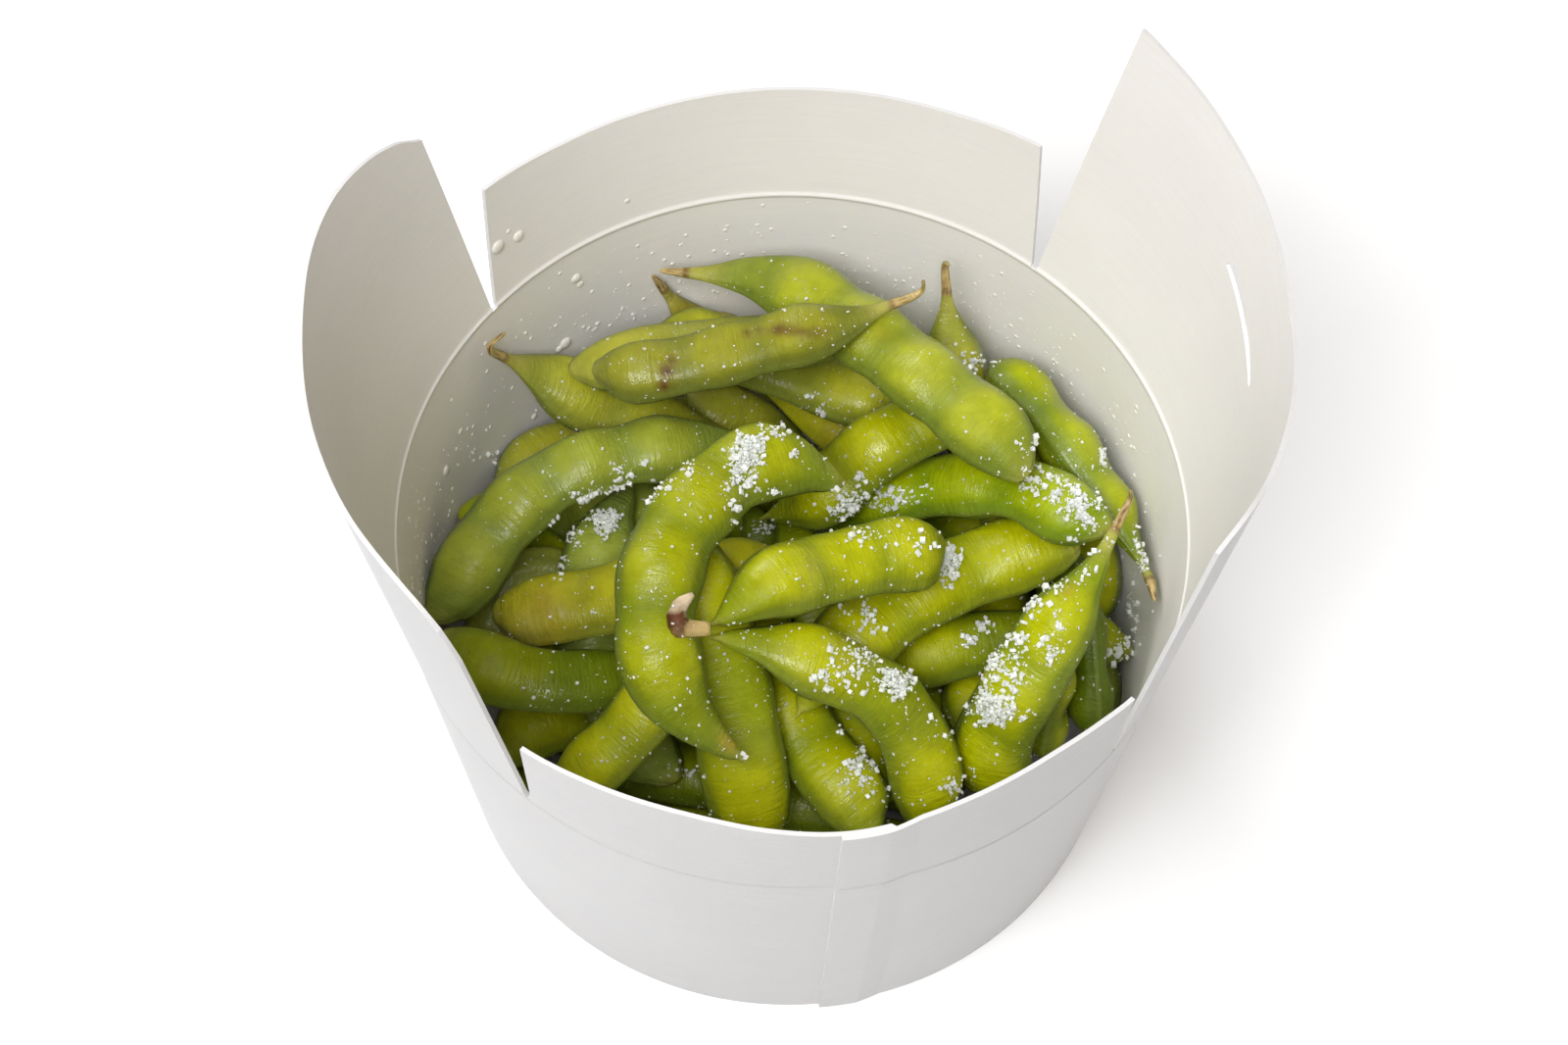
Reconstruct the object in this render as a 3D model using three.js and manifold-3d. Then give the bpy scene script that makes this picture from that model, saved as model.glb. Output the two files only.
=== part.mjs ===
// A folding paper food carton, standing open, filled with boiled edamame pods and coarse salt.
// Millimetres, +Z up. The origin is on the carton's axis at the level that it stands on.
import * as THREE from "three";
import { mergeVertices } from "three/addons/utils/BufferGeometryUtils.js";
import Module from "manifold-3d";

// Carton, driving dimensions
const BASE_RADIUS = 54.2; // outside, at the foot
const CREASE_RADIUS = 62.5; // outside, at the fold line under the flaps
const CREASE_HEIGHT = 63;
const BOARD = 0.7; // thickness of the paperboard
const FIT = 0.48; // clearance between pieces that touch
const NOTCH_HALF = 0.5; // degrees, half the width of the cut between two flaps, at its closed end
const COLUMN_STEP = 5; // degrees
const SEAM = { start: 277.5, end: 284, settle: 288 }; // degrees, the glued overlap in front
const HAIR = 0.1; // degrees, over which the board steps at the seam's two edges
const SLOT = { start: 6.5, end: 24, low: 31.5, high: 35, width: 1.3 }; // tongue slot, right flap
const BASE_RECESS = 4.2; // the floor's underside above the foot
const BASE_FOOT_WIDTH = 2;

// Each flap: its end angles at the crease and at its top corners, angles at which the sheet also
// needs a column, then its top edge as rows of angle, height along the flap and lean from upright
const FLAPS = [
  {
    crease: [-37.5, 52.5],
    top: [-32.5, 49.5],
    extra: [SLOT.start, SLOT.end],
    outline: [
      [-32.5, 60, 7], [-27, 61, 7.6], [-20, 58.5, 8.4], [-12, 56, 9.3], [-5, 54, 10.2],
      [2, 52, 11.1], [7.5, 51, 11.8], [13, 50.5, 12.7], [19, 50.5, 13.6], [25, 51, 14.4],
      [31, 51.5, 15], [38, 52.5, 15.6], [45, 53.6, 16], [49.5, 54.7, 16],
    ],
  },
  {
    crease: [52.5, 142.5],
    top: [56, 139],
    extra: [],
    outline: [[56, 24.8, 11.5], [70, 23.4, 11.5], [97.5, 23, 11.5], [125, 23, 11.5], [139, 24.2, 11.5]],
  },
  {
    crease: [142.5, 232.5],
    top: [145, 228.5],
    extra: [],
    outline: [
      [145, 43, 12], [149, 47, 12], [154, 50.3, 12], [160, 52.8, 12], [166, 54, 11.9],
      [172, 54, 11.7], [178, 53, 11.4], [184, 52.6, 11], [192, 53, 10.4], [200, 54.5, 9.6],
      [208, 56.5, 9], [216, 58, 8.4], [222, 57, 8.1], [226, 53.5, 8], [228.5, 46, 8],
    ],
  },
  {
    crease: [232.5, 322.5],
    top: [233.7, 321.3],
    extra: [SEAM.start - HAIR, SEAM.start, SEAM.end, SEAM.end + HAIR, SEAM.settle],
    outline: [
      [233.7, 24, 7.3], [245, 24, 5.5], [258, 24, 4.6], [270, 24, 6.5], [278, 24, 7.6],
      [284, 24, 7], [295, 24, 5], [307, 24, 4.2], [315, 24, 5.5], [321.3, 24, 7.3],
    ],
  },
];

// Pods, driving dimensions
const STUB_LENGTH = 4.5; // the dry end of the stalk
const STUB_RADIUS = 1.15;
const FIRST_BEAN = 0.3; // where the first and the last bean lie, in fractions of the pod's length
const LAST_BEAN = 0.84;
const BEAN_HALF = 0.38; // half a bean's length, in spaces between beans
const NECK_END = 0.28; // the pod tapers to its stalk over this fraction of its length
const TIP_START = 0.86; // and rounds off beyond this one
const FLATNESS = 0.56; // thickness over width between beans
const BEAN_RISE = 0.22; // what a bean adds to that
const SIGHT_HEIGHT = 45; // the layout below is where each pod is seen against this level
const SIGHT_ELEVATION = THREE.MathUtils.degToRad(60);
const LOOSE_PODS = 6; // lie unseen at the bottom
const LOOSE_REACH = 44; // how far from the axis their ends may lie
const SEED = 9;

// Salt clumps, driving dimensions
const SALT_LENGTH = 8; // along the pod
const SALT_SPREAD = THREE.MathUtils.degToRad(85); // round the pod
const SALT_LEAST = 0.6; // thickness at the edge
const SALT_MOST = 1.4; // and in the middle
const SALT_GAP = 0.55; // clear of the pod's skin
const SALT_GRID = [7, 7]; // points along and round the pod

// Pods that show, from the lowest to the topmost: plan points from stalk to tip, width, beans,
// turn about the pod's own length in degrees, how far its dry stalk end hooks in degrees, and
// where salt lies on it, in fractions of its length
const LAYOUT = [
  { plan: [[-10, -12], [-18, -1], [-24, 7], [-32, 15], [-40, 20], [-37, 30]], width: 11, beans: 3 },
  { plan: [[-14, 2], [-1, -4], [9, -8], [16, -8], [29, -8], [43, -7]], width: 11, beans: 3 },
  { plan: [[41, 7], [37, -4], [32, -16], [28, -26], [24, -36], [16, -43]], width: 11, beans: 3 },
  { plan: [[-45, -7], [-37, -21], [-28, -33], [-18, -41], [-3, -46]], width: 11, beans: 2 },
  { plan: [[-35, 8], [-26, -10], [-17, -25], [-11, -33], [-1, -37]], width: 11, beans: 3 },
  { plan: [[-40, -20], [-31, -33], [-21, -36], [-13, -38], [-4, -40], [11, -44]], width: 11, beans: 3 },
  { plan: [[-7, 14], [-1, -9], [2, -19], [4, -30], [6, -41]], width: 11, beans: 3 },
  { plan: [[32, 29], [41, 7], [47, -5], [51, -17], [52, -25]], width: 12, beans: 3 },
  { plan: [[40, 26], [37, 7], [33, -4], [30, -16], [27, -29]], width: 10.5, beans: 3 },
  { plan: [[18, 40], [37, 22], [44, 15], [49, 6], [50, -7]], width: 10.5, beans: 3 },
  { plan: [[-2, 16], [5, -11], [7, -23], [11, -31], [15, -39]], width: 11, beans: 3 },
  { plan: [[0, 46], [24, 36], [32, 33], [39, 26], [46, 15]], width: 10.5, beans: 3 },
  { plan: [[-23, -23], [-32, -10], [-38, -1], [-45, -2], [-47, -12], [-36, -21]], width: 11, beans: 2 },
  { plan: [[-43, 15], [-55, 10], [-45, 5], [-36, 0], [-26, -3], [-13, -7]], width: 10.5, beans: 3 },
  { plan: [[2, 36], [-23, 28], [-34, 25], [-44, 21], [-51, 14]], width: 10, beans: 3 },
  { plan: [[2, -5], [-22, -24], [-28, -28], [-37, -28], [-47, -33]], width: 13, beans: 3 },
  {
    plan: [[-26, 17], [-30, 9], [-32, -1], [-31, -12], [-26, -24], [-20, -37]],
    width: 12, beans: 4, salt: 0.22,
  },
  { plan: [[2, -16], [-28, -19], [-35, -19], [-44, -18], [-56, -14]], width: 12, beans: 2 },
  { plan: [[-6, 5], [-10, 0], [-14, -8], [-16, -18], [-19, -36]], width: 9.5, beans: 2 },
  { plan: [[32, 11], [28, 1], [25, -6], [23, -17], [21, -26], [19, -36]], width: 11, beans: 2 },
  { plan: [[8, 3], [-7, -2], [-16, -5], [-26, -7], [-37, -9], [-47, -11]], width: 13, beans: 3 },
  { plan: [[-12, 2], [-16, -9], [-20, -18], [-25, -28], [-34, -40]], width: 11, beans: 3 },
  { plan: [[-17, 12], [-11, -11], [-8, -20], [-6, -30], [-3, -45]], width: 14, beans: 2 },
  { plan: [[-15, 7], [-6, -11], [-2, -19], [4, -30], [15, -44]], width: 12.5, beans: 3 },
  { plan: [[6, -15], [33, -11], [41, -10], [47, -8], [56, -7]], width: 12.5, beans: 2 },
  { plan: [[41, 13], [44, 4], [46, -7], [47, -16], [49, -26]], width: 10, beans: 3, turn: 80 },
  { plan: [[48, 2], [44, -7], [43, -16], [41, -31]], width: 11, beans: 3, turn: 80 },
  { plan: [[46, -1], [21, 19], [13, 25], [4, 29], [-3, 27]], width: 12, beans: 2 },
  { plan: [[27, 6], [8, 20], [-2, 27], [-11, 32], [-19, 33]], width: 13, beans: 2 },
  { plan: [[-23, 56], [-18, 49], [-10, 42], [-2, 36], [15, 23]], width: 10, beans: 2, ripe: true },
  { plan: [[-24, 39], [-19, 46], [-7, 41], [4, 37], [17, 33]], width: 11, beans: 2 },
  { plan: [[24, 53], [25, 46], [28, 36], [32, 27], [38, 10]], width: 10, beans: 2, hook: 50 },
  { plan: [[13, 44], [-2, 45], [-14, 44], [-25, 41], [-36, 36]], width: 10, beans: 2 },
  { plan: [[59, 3], [53, 12], [48, 20], [40, 32], [32, 41]], width: 12, beans: 3, turn: 50 },
  { plan: [[-5, 11], [4, 15], [13, 23], [21, 30], [28, 36]], width: 12.5, beans: 3 },
  { plan: [[1, 9], [11, 16], [21, 19], [32, 18], [41, 15], [51, 8]], width: 12.5, beans: 3 },
  { plan: [[-19, 57], [-6, 56], [9, 47], [22, 36], [38, 22]], width: 13.5, beans: 4 },
  {
    plan: [[-50, 41], [-41, 36], [-30, 30], [-19, 25], [-10, 20], [-3, 16]],
    width: 12.5, beans: 3, hook: 70,
  },
  { plan: [[14, 51], [6, 47], [-6, 43], [-18, 39], [-32, 36]], width: 11, beans: 3, hook: 60 },
  { plan: [[-2, 25], [-18, 24], [-30, 21], [-41, 15], [-50, 3], [-55, -9]], width: 12, beans: 4 },
  { plan: [[0, -25], [5, -19], [12, -10], [21, -2], [32, 5], [45, 10]], width: 14, beans: 3, salt: 0.62 },
  {
    plan: [[-6, -32], [-14, -24], [-19, -14], [-19, 3], [-12, 16], [-3, 22], [6, 21]],
    width: 13.5, beans: 4, salt: 0.8,
  },
  { plan: [[-13, -9], [-4, -3], [6, 2], [15, 5], [25, 6]], width: 13, beans: 2, twin: true },
  {
    plan: [[-13, -10], [-2, -11], [7, -15], [16, -21], [22, -31], [25, -43]],
    width: 12.5, beans: 3, twin: true, salt: 0.52,
  },
  {
    plan: [[50, 10], [47, 3], [42, -7], [37, -18], [33, -28], [31, -40]],
    width: 13.5, beans: 3, hook: 60, salt: 0.6,
  },
];

// Pods that lie unseen below the front rim, with the height from which each sinks
const TUCKED = [
  { plan: [[-41, -26], [-26, -44], [2, -53]], width: 12.5, beans: 3, loose: true, start: 60 },
  { plan: [[44, -26], [26, -45], [-4, -52]], width: 12, beans: 3, loose: true, start: 80 },
  { plan: [[-28, -44], [-2, -53], [28, -46]], width: 13, beans: 3, loose: true, start: 110 },
];

const rad = THREE.MathUtils.degToRad;
const wasm = await Module();
wasm.setup();

// One closed mesh from flat lists of points and triangles
function closedMesh(name, points, faces, material) {
  const geometry = new THREE.BufferGeometry();
  geometry.setAttribute("position", new THREE.Float32BufferAttribute(points.flat(), 3));
  geometry.setIndex(faces.flat());
  const mesh = new THREE.Mesh(geometry, material);
  mesh.name = name;
  return mesh;
}

const board = new THREE.MeshStandardMaterial({ color: "#e9e8e4", roughness: 0.6, metalness: 0 });
const podGreen = new THREE.MeshStandardMaterial({ color: "#8f9d1c", roughness: 0.42, metalness: 0 });
const podRipe = new THREE.MeshStandardMaterial({ color: "#9c8a2b", roughness: 0.5, metalness: 0 });
const saltWhite = new THREE.MeshStandardMaterial({ color: "#eef2f4", roughness: 0.35, metalness: 0 });

// Carton: one die-cut sheet, rolled to a cone and glued to itself, with four curved flaps

// A value from an outline's rows of angle, height and lean
function alongOutline(outline, angle, column) {
  const last = outline.length - 1;
  if (angle <= outline[0][0]) return outline[0][column];
  if (angle >= outline[last][0]) return outline[last][column];
  const k = outline.findIndex((row) => row[0] >= angle);
  const [a, b] = [outline[k - 1], outline[k]];
  return THREE.MathUtils.mapLinear(angle, a[0], b[0], a[column], b[column]);
}

// How far the sheet's outer and inner faces lie outside their usual places near the glued seam
function seamShift(angle) {
  const a = ((angle % 360) + 360) % 360;
  if (a < SEAM.start || a > SEAM.settle) return [0, 0];
  if (a <= SEAM.end) return [BOARD, 0];
  const settling = (SEAM.settle - a) / (SEAM.settle - SEAM.end);
  return [BOARD * settling, BOARD * settling];
}

// Outer and inner points of the sheet at an angle, a height along it and its lean from upright
function sheetPoints(angle, radius, z, lean) {
  const [outer, inner] = seamShift(angle);
  const direction = [Math.cos(rad(angle)), Math.sin(rad(angle))];
  return [outer, inner - BOARD].map((shift) => {
    const r = radius + shift * Math.cos(rad(lean));
    const raised = THREE.MathUtils.clamp(-shift, 0, BOARD) * Math.sin(rad(lean));
    return [direction[0] * r, direction[1] * r, z + raised];
  });
}

function cartonSheet() {
  const columns = [];
  FLAPS.forEach((flap, index) => {
    const [from, to] = [flap.crease[0] + NOTCH_HALF, flap.crease[1] - NOTCH_HALF];
    const angles = new Set();
    const count = Math.round((to - from) / COLUMN_STEP);
    for (let i = 0; i <= count; i++) angles.add(from + ((to - from) * i) / count);
    for (const angle of FLAPS[index].extra) angles.add(angle);
    [...angles].sort((a, b) => a - b).forEach((angle) => columns.push({ angle, index }));
  });

  const outer = [];
  const inner = [];
  const place = (pair) => {
    outer.push(pair[0]);
    inner.push(pair[1]);
    return outer.length - 1;
  };
  const wallLean = THREE.MathUtils.radToDeg(Math.atan((CREASE_RADIUS - BASE_RADIUS) / CREASE_HEIGHT));
  for (const column of columns) {
    const flap = FLAPS[column.index];
    const share = (column.angle - flap.crease[0]) / (flap.crease[1] - flap.crease[0]);
    const topAngle = THREE.MathUtils.lerp(flap.top[0], flap.top[1], share);
    const height = alongOutline(flap.outline, topAngle, 1);
    const lean = alongOutline(flap.outline, topAngle, 2);
    const slotShare = (column.angle - SLOT.start) / (SLOT.end - SLOT.start);
    const slotLow = THREE.MathUtils.lerp(SLOT.low, SLOT.high, THREE.MathUtils.clamp(slotShare, 0, 1));
    const slotted = [slotLow / 2, slotLow, slotLow + SLOT.width, height];
    const heights = column.index === 0 ? slotted : [height / 2, height];
    const onFlap = (along) => {
      const angle = THREE.MathUtils.lerp(column.angle, topAngle, along / height);
      const radius = CREASE_RADIUS + along * Math.sin(rad(lean));
      return sheetPoints(angle, radius, CREASE_HEIGHT + along * Math.cos(rad(lean)), lean);
    };
    column.rows = [
      place(sheetPoints(column.angle, BASE_RADIUS, 0, 0)),
      place(sheetPoints(column.angle, CREASE_RADIUS, CREASE_HEIGHT, wallLean)),
      ...heights.map((along) => place(onFlap(along))),
    ];
  }

  // Quads between neighbouring columns, leaving out the cuts between flaps and the slot
  const quads = [];
  columns.forEach((a, k) => {
    const b = columns[(k + 1) % columns.length];
    const rows = a.index === b.index ? a.rows.length - 1 : 1;
    for (let row = 0; row < rows; row++) {
      const inSlot = a.index === 0 && row === 3 && a.angle >= SLOT.start && b.angle <= SLOT.end;
      if (!inSlot) quads.push([a.rows[row], b.rows[row], b.rows[row + 1], a.rows[row + 1]]);
    }
  });
  return thickSheet(outer, inner, quads);
}

// Closes a sheet of quads: its outer face, its inner face, and a strip along every free edge
function thickSheet(outer, inner, quads) {
  const points = [...outer, ...inner];
  const under = outer.length;
  const faces = [];
  const edges = new Map();
  for (const quad of quads) {
    const [a, b, c, d] = quad;
    faces.push([a, b, c], [a, c, d], [a + under, c + under, b + under], [a + under, d + under, c + under]);
    quad.forEach((from, i) => {
      const to = quad[(i + 1) % 4];
      if (edges.has(`${to},${from}`)) edges.delete(`${to},${from}`);
      else edges.set(`${from},${to}`, [from, to]);
    });
  }
  for (const [from, to] of edges.values())
    faces.push([to, from, from + under], [to, from + under, to + under]);
  return { points, faces };
}

// Carton floor: a shallow cup pushed up into the wall, standing on its turned-down edge
function cartonBase() {
  const flare = (CREASE_RADIUS - BASE_RADIUS) / CREASE_HEIGHT;
  const top = BASE_RECESS + BOARD;
  const outside = BASE_RADIUS - BOARD - 2 * FIT;
  const profile = [
    [0, BASE_RECESS],
    [outside - BASE_FOOT_WIDTH, BASE_RECESS],
    [outside - BASE_FOOT_WIDTH, 0],
    [outside, 0],
    [outside + flare * top, top],
    [0, top],
  ].map(([r, z]) => new THREE.Vector2(r, z));
  const sides = 40;
  const mesh = new THREE.Mesh(new THREE.LatheGeometry(profile, sides), board);
  mesh.rotation.x = Math.PI / 2;
  mesh.name = "carton_base";
  return mesh;
}

// Pods

const BEADS = 18; // places along a pod at which it is held apart from its neighbours
const TWIN_STALK_BEADS = 5; // the twins grow from one stalk and may touch this far along
const NARROWEST = 0.5;
const BLUNT_END = 0.99; // a pod's last bead is as wide as the pod is here
const LOWEST_START = 12; // the height from which the first pod sinks
const LOOSE_RISE = 5; // how much higher each unseen pod starts than the one before
const SHOWN_RISE = 2.2; // and each one that shows
const SETTLING = [
  { steps: 440, sink: 0.4, hold: 0.15 },
  { steps: 550, sink: 0.05, hold: 0.15 },
  { steps: 330, sink: 0.012, hold: 0.03 },
  { steps: 880, sink: 0, hold: 0.03 },
]; // how far the pods sink in each step, and how hard each is held to its line of sight
const SHAPE_PASSES = 3;
const BOW_PULL = 0.22; // share of its bending that a pod takes back in each pass
const SQUEEZE_PASSES = 20;
const SQUEEZED_APART = 0.6; // clearance between the squeezed sections
const GIVE = 0.62; // share of an overlap that each of two touching pods gives up
const MOST_SQUEEZED = 0.18; // the least that is left of a section
const RING_SIDES = 8;
const RING_SHARES = [0.05, 0.14, 0.22, 0.3, 0.39, 0.48, 0.57, 0.66, 0.75, 0.84, 0.92, 0.975];
const HOOK_RADIUS = STUB_RADIUS * 0.85;
const HOOK_LENGTH = 3.6;
const STUB_CAP = 0.5;
const FLOOR = BASE_RECESS + BOARD;
const WALL_SLOPE = Math.atan((CREASE_RADIUS - BASE_RADIUS) / CREASE_HEIGHT);

// Half the width and half the thickness of a pod at a fraction of its length, 0 at the stalk
function podHalves(pod, f) {
  if (f <= 0) return [STUB_RADIUS, STUB_RADIUS];
  const apart = (LAST_BEAN - FIRST_BEAN) / (pod.beans - 1);
  let bean = 0;
  for (let i = 0; i < pod.beans; i++) {
    const off = (f - FIRST_BEAN - apart * i) / (BEAN_HALF * apart);
    bean = Math.max(bean, Math.exp(-off * off));
  }
  const neck = THREE.MathUtils.lerp(0.2, 1, THREE.MathUtils.smoothstep(f, 0, NECK_END));
  const beyond = Math.max(f - TIP_START, 0) / (1 - TIP_START);
  const half = (pod.width / 2) * neck * Math.sqrt(Math.max(0, 1 - beyond ** 2));
  const wide = half * THREE.MathUtils.lerp(0.92, 1, bean);
  const thick = half * (FLATNESS + BEAN_RISE * bean);
  return [Math.max(wide, NARROWEST), Math.max(thick, NARROWEST)];
}

// Repeatable draws between 0 and 1
let seed = SEED;
function draw() {
  seed = (seed * 1664525 + 1013904223) % 4294967296;
  return seed / 4294967296;
}

// The pods that lie unseen at the bottom, anyhow
function loosePods() {
  const pods = [];
  while (pods.length < LOOSE_PODS) {
    const at = draw() * 2 * Math.PI;
    const out = Math.sqrt(draw()) * 30;
    const heading = draw() * 2 * Math.PI;
    const half = 29 + draw() * 4;
    const bow = (draw() - 0.5) * 16;
    const [x, y] = [out * Math.cos(at), out * Math.sin(at)];
    const [c, s] = [half * Math.cos(heading), half * Math.sin(heading)];
    const middle = [x - (s / half) * bow, y + (c / half) * bow];
    const plan = [[x - c, y - s], middle, [x + c, y + s]];
    if (plan.some(([px, py]) => Math.hypot(px, py) > LOOSE_REACH)) continue;
    const start = LOWEST_START + LOOSE_RISE * pods.length;
    pods.push({ plan, width: 12 + draw() * 1.5, beans: 3, loose: true, start });
  }
  return pods;
}

// Sets a pod's beads along its plan curve, at the height that it starts falling from
function stringBeads(pod) {
  const curve = new THREE.CatmullRomCurve3(
    pod.plan.map(([x, y]) => new THREE.Vector3(x, y, 0)),
    false,
    "centripetal",
  );
  const length = curve.getLength();
  const first = -STUB_LENGTH / length;
  const nearer = pod.loose ? 0 : (pod.start - SIGHT_HEIGHT) / Math.tan(SIGHT_ELEVATION);
  pod.share = Array.from({ length: BEADS }, (_, i) => first + ((1 - first) * i) / (BEADS - 1));
  pod.beads = pod.share.map((f) => {
    const p = curve.getPointAt(Math.max(f, 0));
    p.addScaledVector(curve.getTangentAt(Math.max(f, 0)), Math.min(f, 0) * length);
    return new THREE.Vector3(p.x, p.y - nearer, pod.start);
  });
  pod.spacing = (length + STUB_LENGTH) / (BEADS - 1);
  pod.halves = pod.share.map((f) => podHalves(pod, Math.min(f, BLUNT_END)));
  pod.squeeze = pod.share.map(() => 1);
  pod.sight = pod.beads.map((p) => [p.x, seenHeight(p)]);
  pod.bow = pod.beads.map((p, i) => {
    const [a, b] = [pod.beads[Math.max(i - 1, 0)], pod.beads[Math.min(i + 1, BEADS - 1)]];
    return new THREE.Vector3(a.x - 2 * p.x + b.x, a.y - 2 * p.y + b.y, 0);
  });
}

// How high up the picture a point stands, seen along the line of sight
function seenHeight(p) {
  return p.y * Math.sin(SIGHT_ELEVATION) + p.z * Math.cos(SIGHT_ELEVATION);
}

// The wide and the thick half axes of a pod at each bead, and the box round it
function sectionAxes(pod) {
  const [cosine, sine] = [Math.cos(rad(pod.turn ?? 0)), Math.sin(rad(pod.turn ?? 0))];
  pod.box = new THREE.Box3();
  pod.axes = pod.beads.map((p, i) => {
    const [before, after] = [pod.beads[Math.max(i - 1, 0)], pod.beads[Math.min(i + 1, BEADS - 1)]];
    const along = after.clone().sub(before).normalize();
    const side = new THREE.Vector3(-along.y, along.x, 0).normalize();
    const up = along.clone().cross(side);
    const [w, t] = pod.halves[i].map((half) => half * pod.squeeze[i]);
    const wide = side.clone().multiplyScalar(cosine * w).addScaledVector(up, sine * w);
    const thick = up.multiplyScalar(cosine * t).addScaledVector(side, -sine * t);
    const most = Math.max(w, t);
    pod.box.expandByPoint(p.clone().addScalar(most + 1)).expandByPoint(p.clone().subScalar(most + 1));
    return { wide, thick, most };
  });
}

// How far a section reaches in a direction
function reach(axes, direction) {
  return Math.hypot(axes.wide.dot(direction), axes.thick.dot(direction));
}

// Calls touch for each pair of beads of two pods that are nearer than a clearance
function eachTouch(pods, clearance, touch) {
  const apart = new THREE.Vector3();
  for (let a = 0; a < pods.length; a++)
    for (let b = a + 1; b < pods.length; b++) {
      const [one, two] = [pods[a], pods[b]];
      if (!one.box.intersectsBox(two.box)) continue;
      const shared = one.twin && two.twin ? TWIN_STALK_BEADS : 0;
      for (let i = 0; i < BEADS; i++) {
        if (two.box.distanceToPoint(one.beads[i]) > one.axes[i].most) continue;
        for (let j = 0; j < BEADS; j++) {
          if (i < shared && j < shared) continue;
          const most = one.axes[i].most + two.axes[j].most + clearance;
          apart.subVectors(two.beads[j], one.beads[i]);
          if (apart.lengthSq() > most * most) continue;
          const gap = Math.max(apart.length(), 1e-6);
          apart.divideScalar(gap);
          const over = reach(one.axes[i], apart) + reach(two.axes[j], apart) + clearance - gap;
          if (over > 0) touch(one, i, two, j, apart, over);
        }
      }
    }
}

// Lets the whole heap sink and find its places: every pod keeps its length, its bow and, if it
// shows, its line of sight, and is pushed off its neighbours, the wall and the floor
function settle(pods) {
  const firstTwin = pods.find((pod) => pod.twin);
  pods.forEach(stringBeads);
  for (const { steps, sink, hold } of SETTLING)
    for (let step = 0; step < steps; step++) {
      for (const pod of pods) {
        for (const p of pod.beads) p.z -= sink;
        sectionAxes(pod);
        pod.push = pod.beads.map(() => ({ sum: new THREE.Vector3(), count: 0 }));
      }
      eachTouch(pods, FIT, (one, i, two, j, apart, over) => {
        one.push[i].sum.addScaledVector(apart, -over / 2);
        two.push[j].sum.addScaledVector(apart, over / 2);
        one.push[i].count++;
        two.push[j].count++;
      });
      for (const pod of pods) {
        pod.beads.forEach((p, i) => {
          const { sum, count } = pod.push[i];
          p.addScaledVector(sum, 1 / Math.max(count, 1) ** 0.6);
        });
        for (let pass = 0; pass < SHAPE_PASSES; pass++) keepShape(pod);
        if (pod.twin && pod !== firstTwin) joinStalks(firstTwin, pod);
        if (!pod.loose) pod.beads.forEach((p, i) => keepSight(p, pod.sight[i], hold));
        pod.beads.forEach((p, i) => keepInside(p, pod.axes[i]));
      }
    }
  squeezeTouching(pods);
}

// Draws a bead back to where it is seen
function keepSight(p, [across, upward], hold) {
  const rise = (upward - seenHeight(p)) * hold;
  p.x += (across - p.x) * hold;
  p.y += rise * Math.sin(SIGHT_ELEVATION);
  p.z += (rise * Math.cos(SIGHT_ELEVATION)) / 2;
}

// Keeps a bead above the floor and inside the wall
function keepInside(p, axes) {
  p.z = Math.max(p.z, FLOOR + FIT + reach(axes, new THREE.Vector3(0, 0, 1)));
  const r = Math.max(Math.hypot(p.x, p.y), NARROWEST);
  const out = new THREE.Vector3(p.x / r, p.y / r, -Math.tan(WALL_SLOPE)).normalize();
  const wall = (BASE_RADIUS + p.z * Math.tan(WALL_SLOPE) - r) * Math.cos(WALL_SLOPE) - BOARD;
  p.addScaledVector(out, Math.min(wall - reach(axes, out) - FIT, 0));
}

// Brings the first beads of two pods together on the stalk that they share
function joinStalks(one, two) {
  for (const i of [0, 1]) {
    const middle = one.beads[i].clone().add(two.beads[i]).divideScalar(2);
    one.beads[i].copy(middle);
    two.beads[i].copy(middle);
  }
}

// Brings a pod's beads back towards its own bow and spacing
function keepShape(pod) {
  for (let i = 1; i < BEADS - 1; i++) {
    const [a, p, b] = [pod.beads[i - 1], pod.beads[i], pod.beads[i + 1]];
    const back = a.clone().add(b).addScaledVector(p, -2).sub(pod.bow[i]).multiplyScalar(BOW_PULL);
    p.add(back);
    a.addScaledVector(back, -0.5);
    b.addScaledVector(back, -0.5);
  }
  for (let i = 1; i < BEADS; i++) {
    const [a, b] = [pod.beads[i - 1], pod.beads[i]];
    const gap = b.clone().sub(a);
    const length = Math.max(gap.length(), 1e-6);
    gap.multiplyScalar((length - pod.spacing) / length / 2);
    a.add(gap);
    b.sub(gap);
  }
}

// Soft pods give where they still press on each other
function squeezeTouching(pods) {
  for (let pass = 0; pass < SQUEEZE_PASSES; pass++) {
    pods.forEach(sectionAxes);
    eachTouch(pods, SQUEEZED_APART, (one, i, two, j, apart, over) => {
      for (const [pod, k] of [[one, i], [two, j]]) {
        const half = Math.max(...pod.halves[k]) * pod.squeeze[k];
        const give = 1 - (over * GIVE) / half;
        pod.squeeze[k] = Math.max(pod.squeeze[k] * give, MOST_SQUEEZED);
      }
    });
  }
  pods.forEach(sectionAxes);
}

// The pod's section at a fraction of its length: its middle and its two half axes
function sectionAt(pod, f) {
  const place = ((f - pod.share[0]) / (1 - pod.share[0])) * (BEADS - 1);
  const i = Math.min(Math.floor(place), BEADS - 2);
  const mix = place - i;
  const soft = THREE.MathUtils.lerp(pod.squeeze[i], pod.squeeze[i + 1], mix);
  const [wide, thick] = ["wide", "thick"].map((axis, k) => {
    const [before, after] = [pod.axes[i][axis].clone(), pod.axes[i + 1][axis].clone()];
    const way = before.normalize().lerp(after.normalize(), mix).normalize();
    return way.multiplyScalar(podHalves(pod, f)[k] * soft);
  });
  return { centre: pod.middle.getPoint(place / (BEADS - 1)), wide, thick };
}

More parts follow.
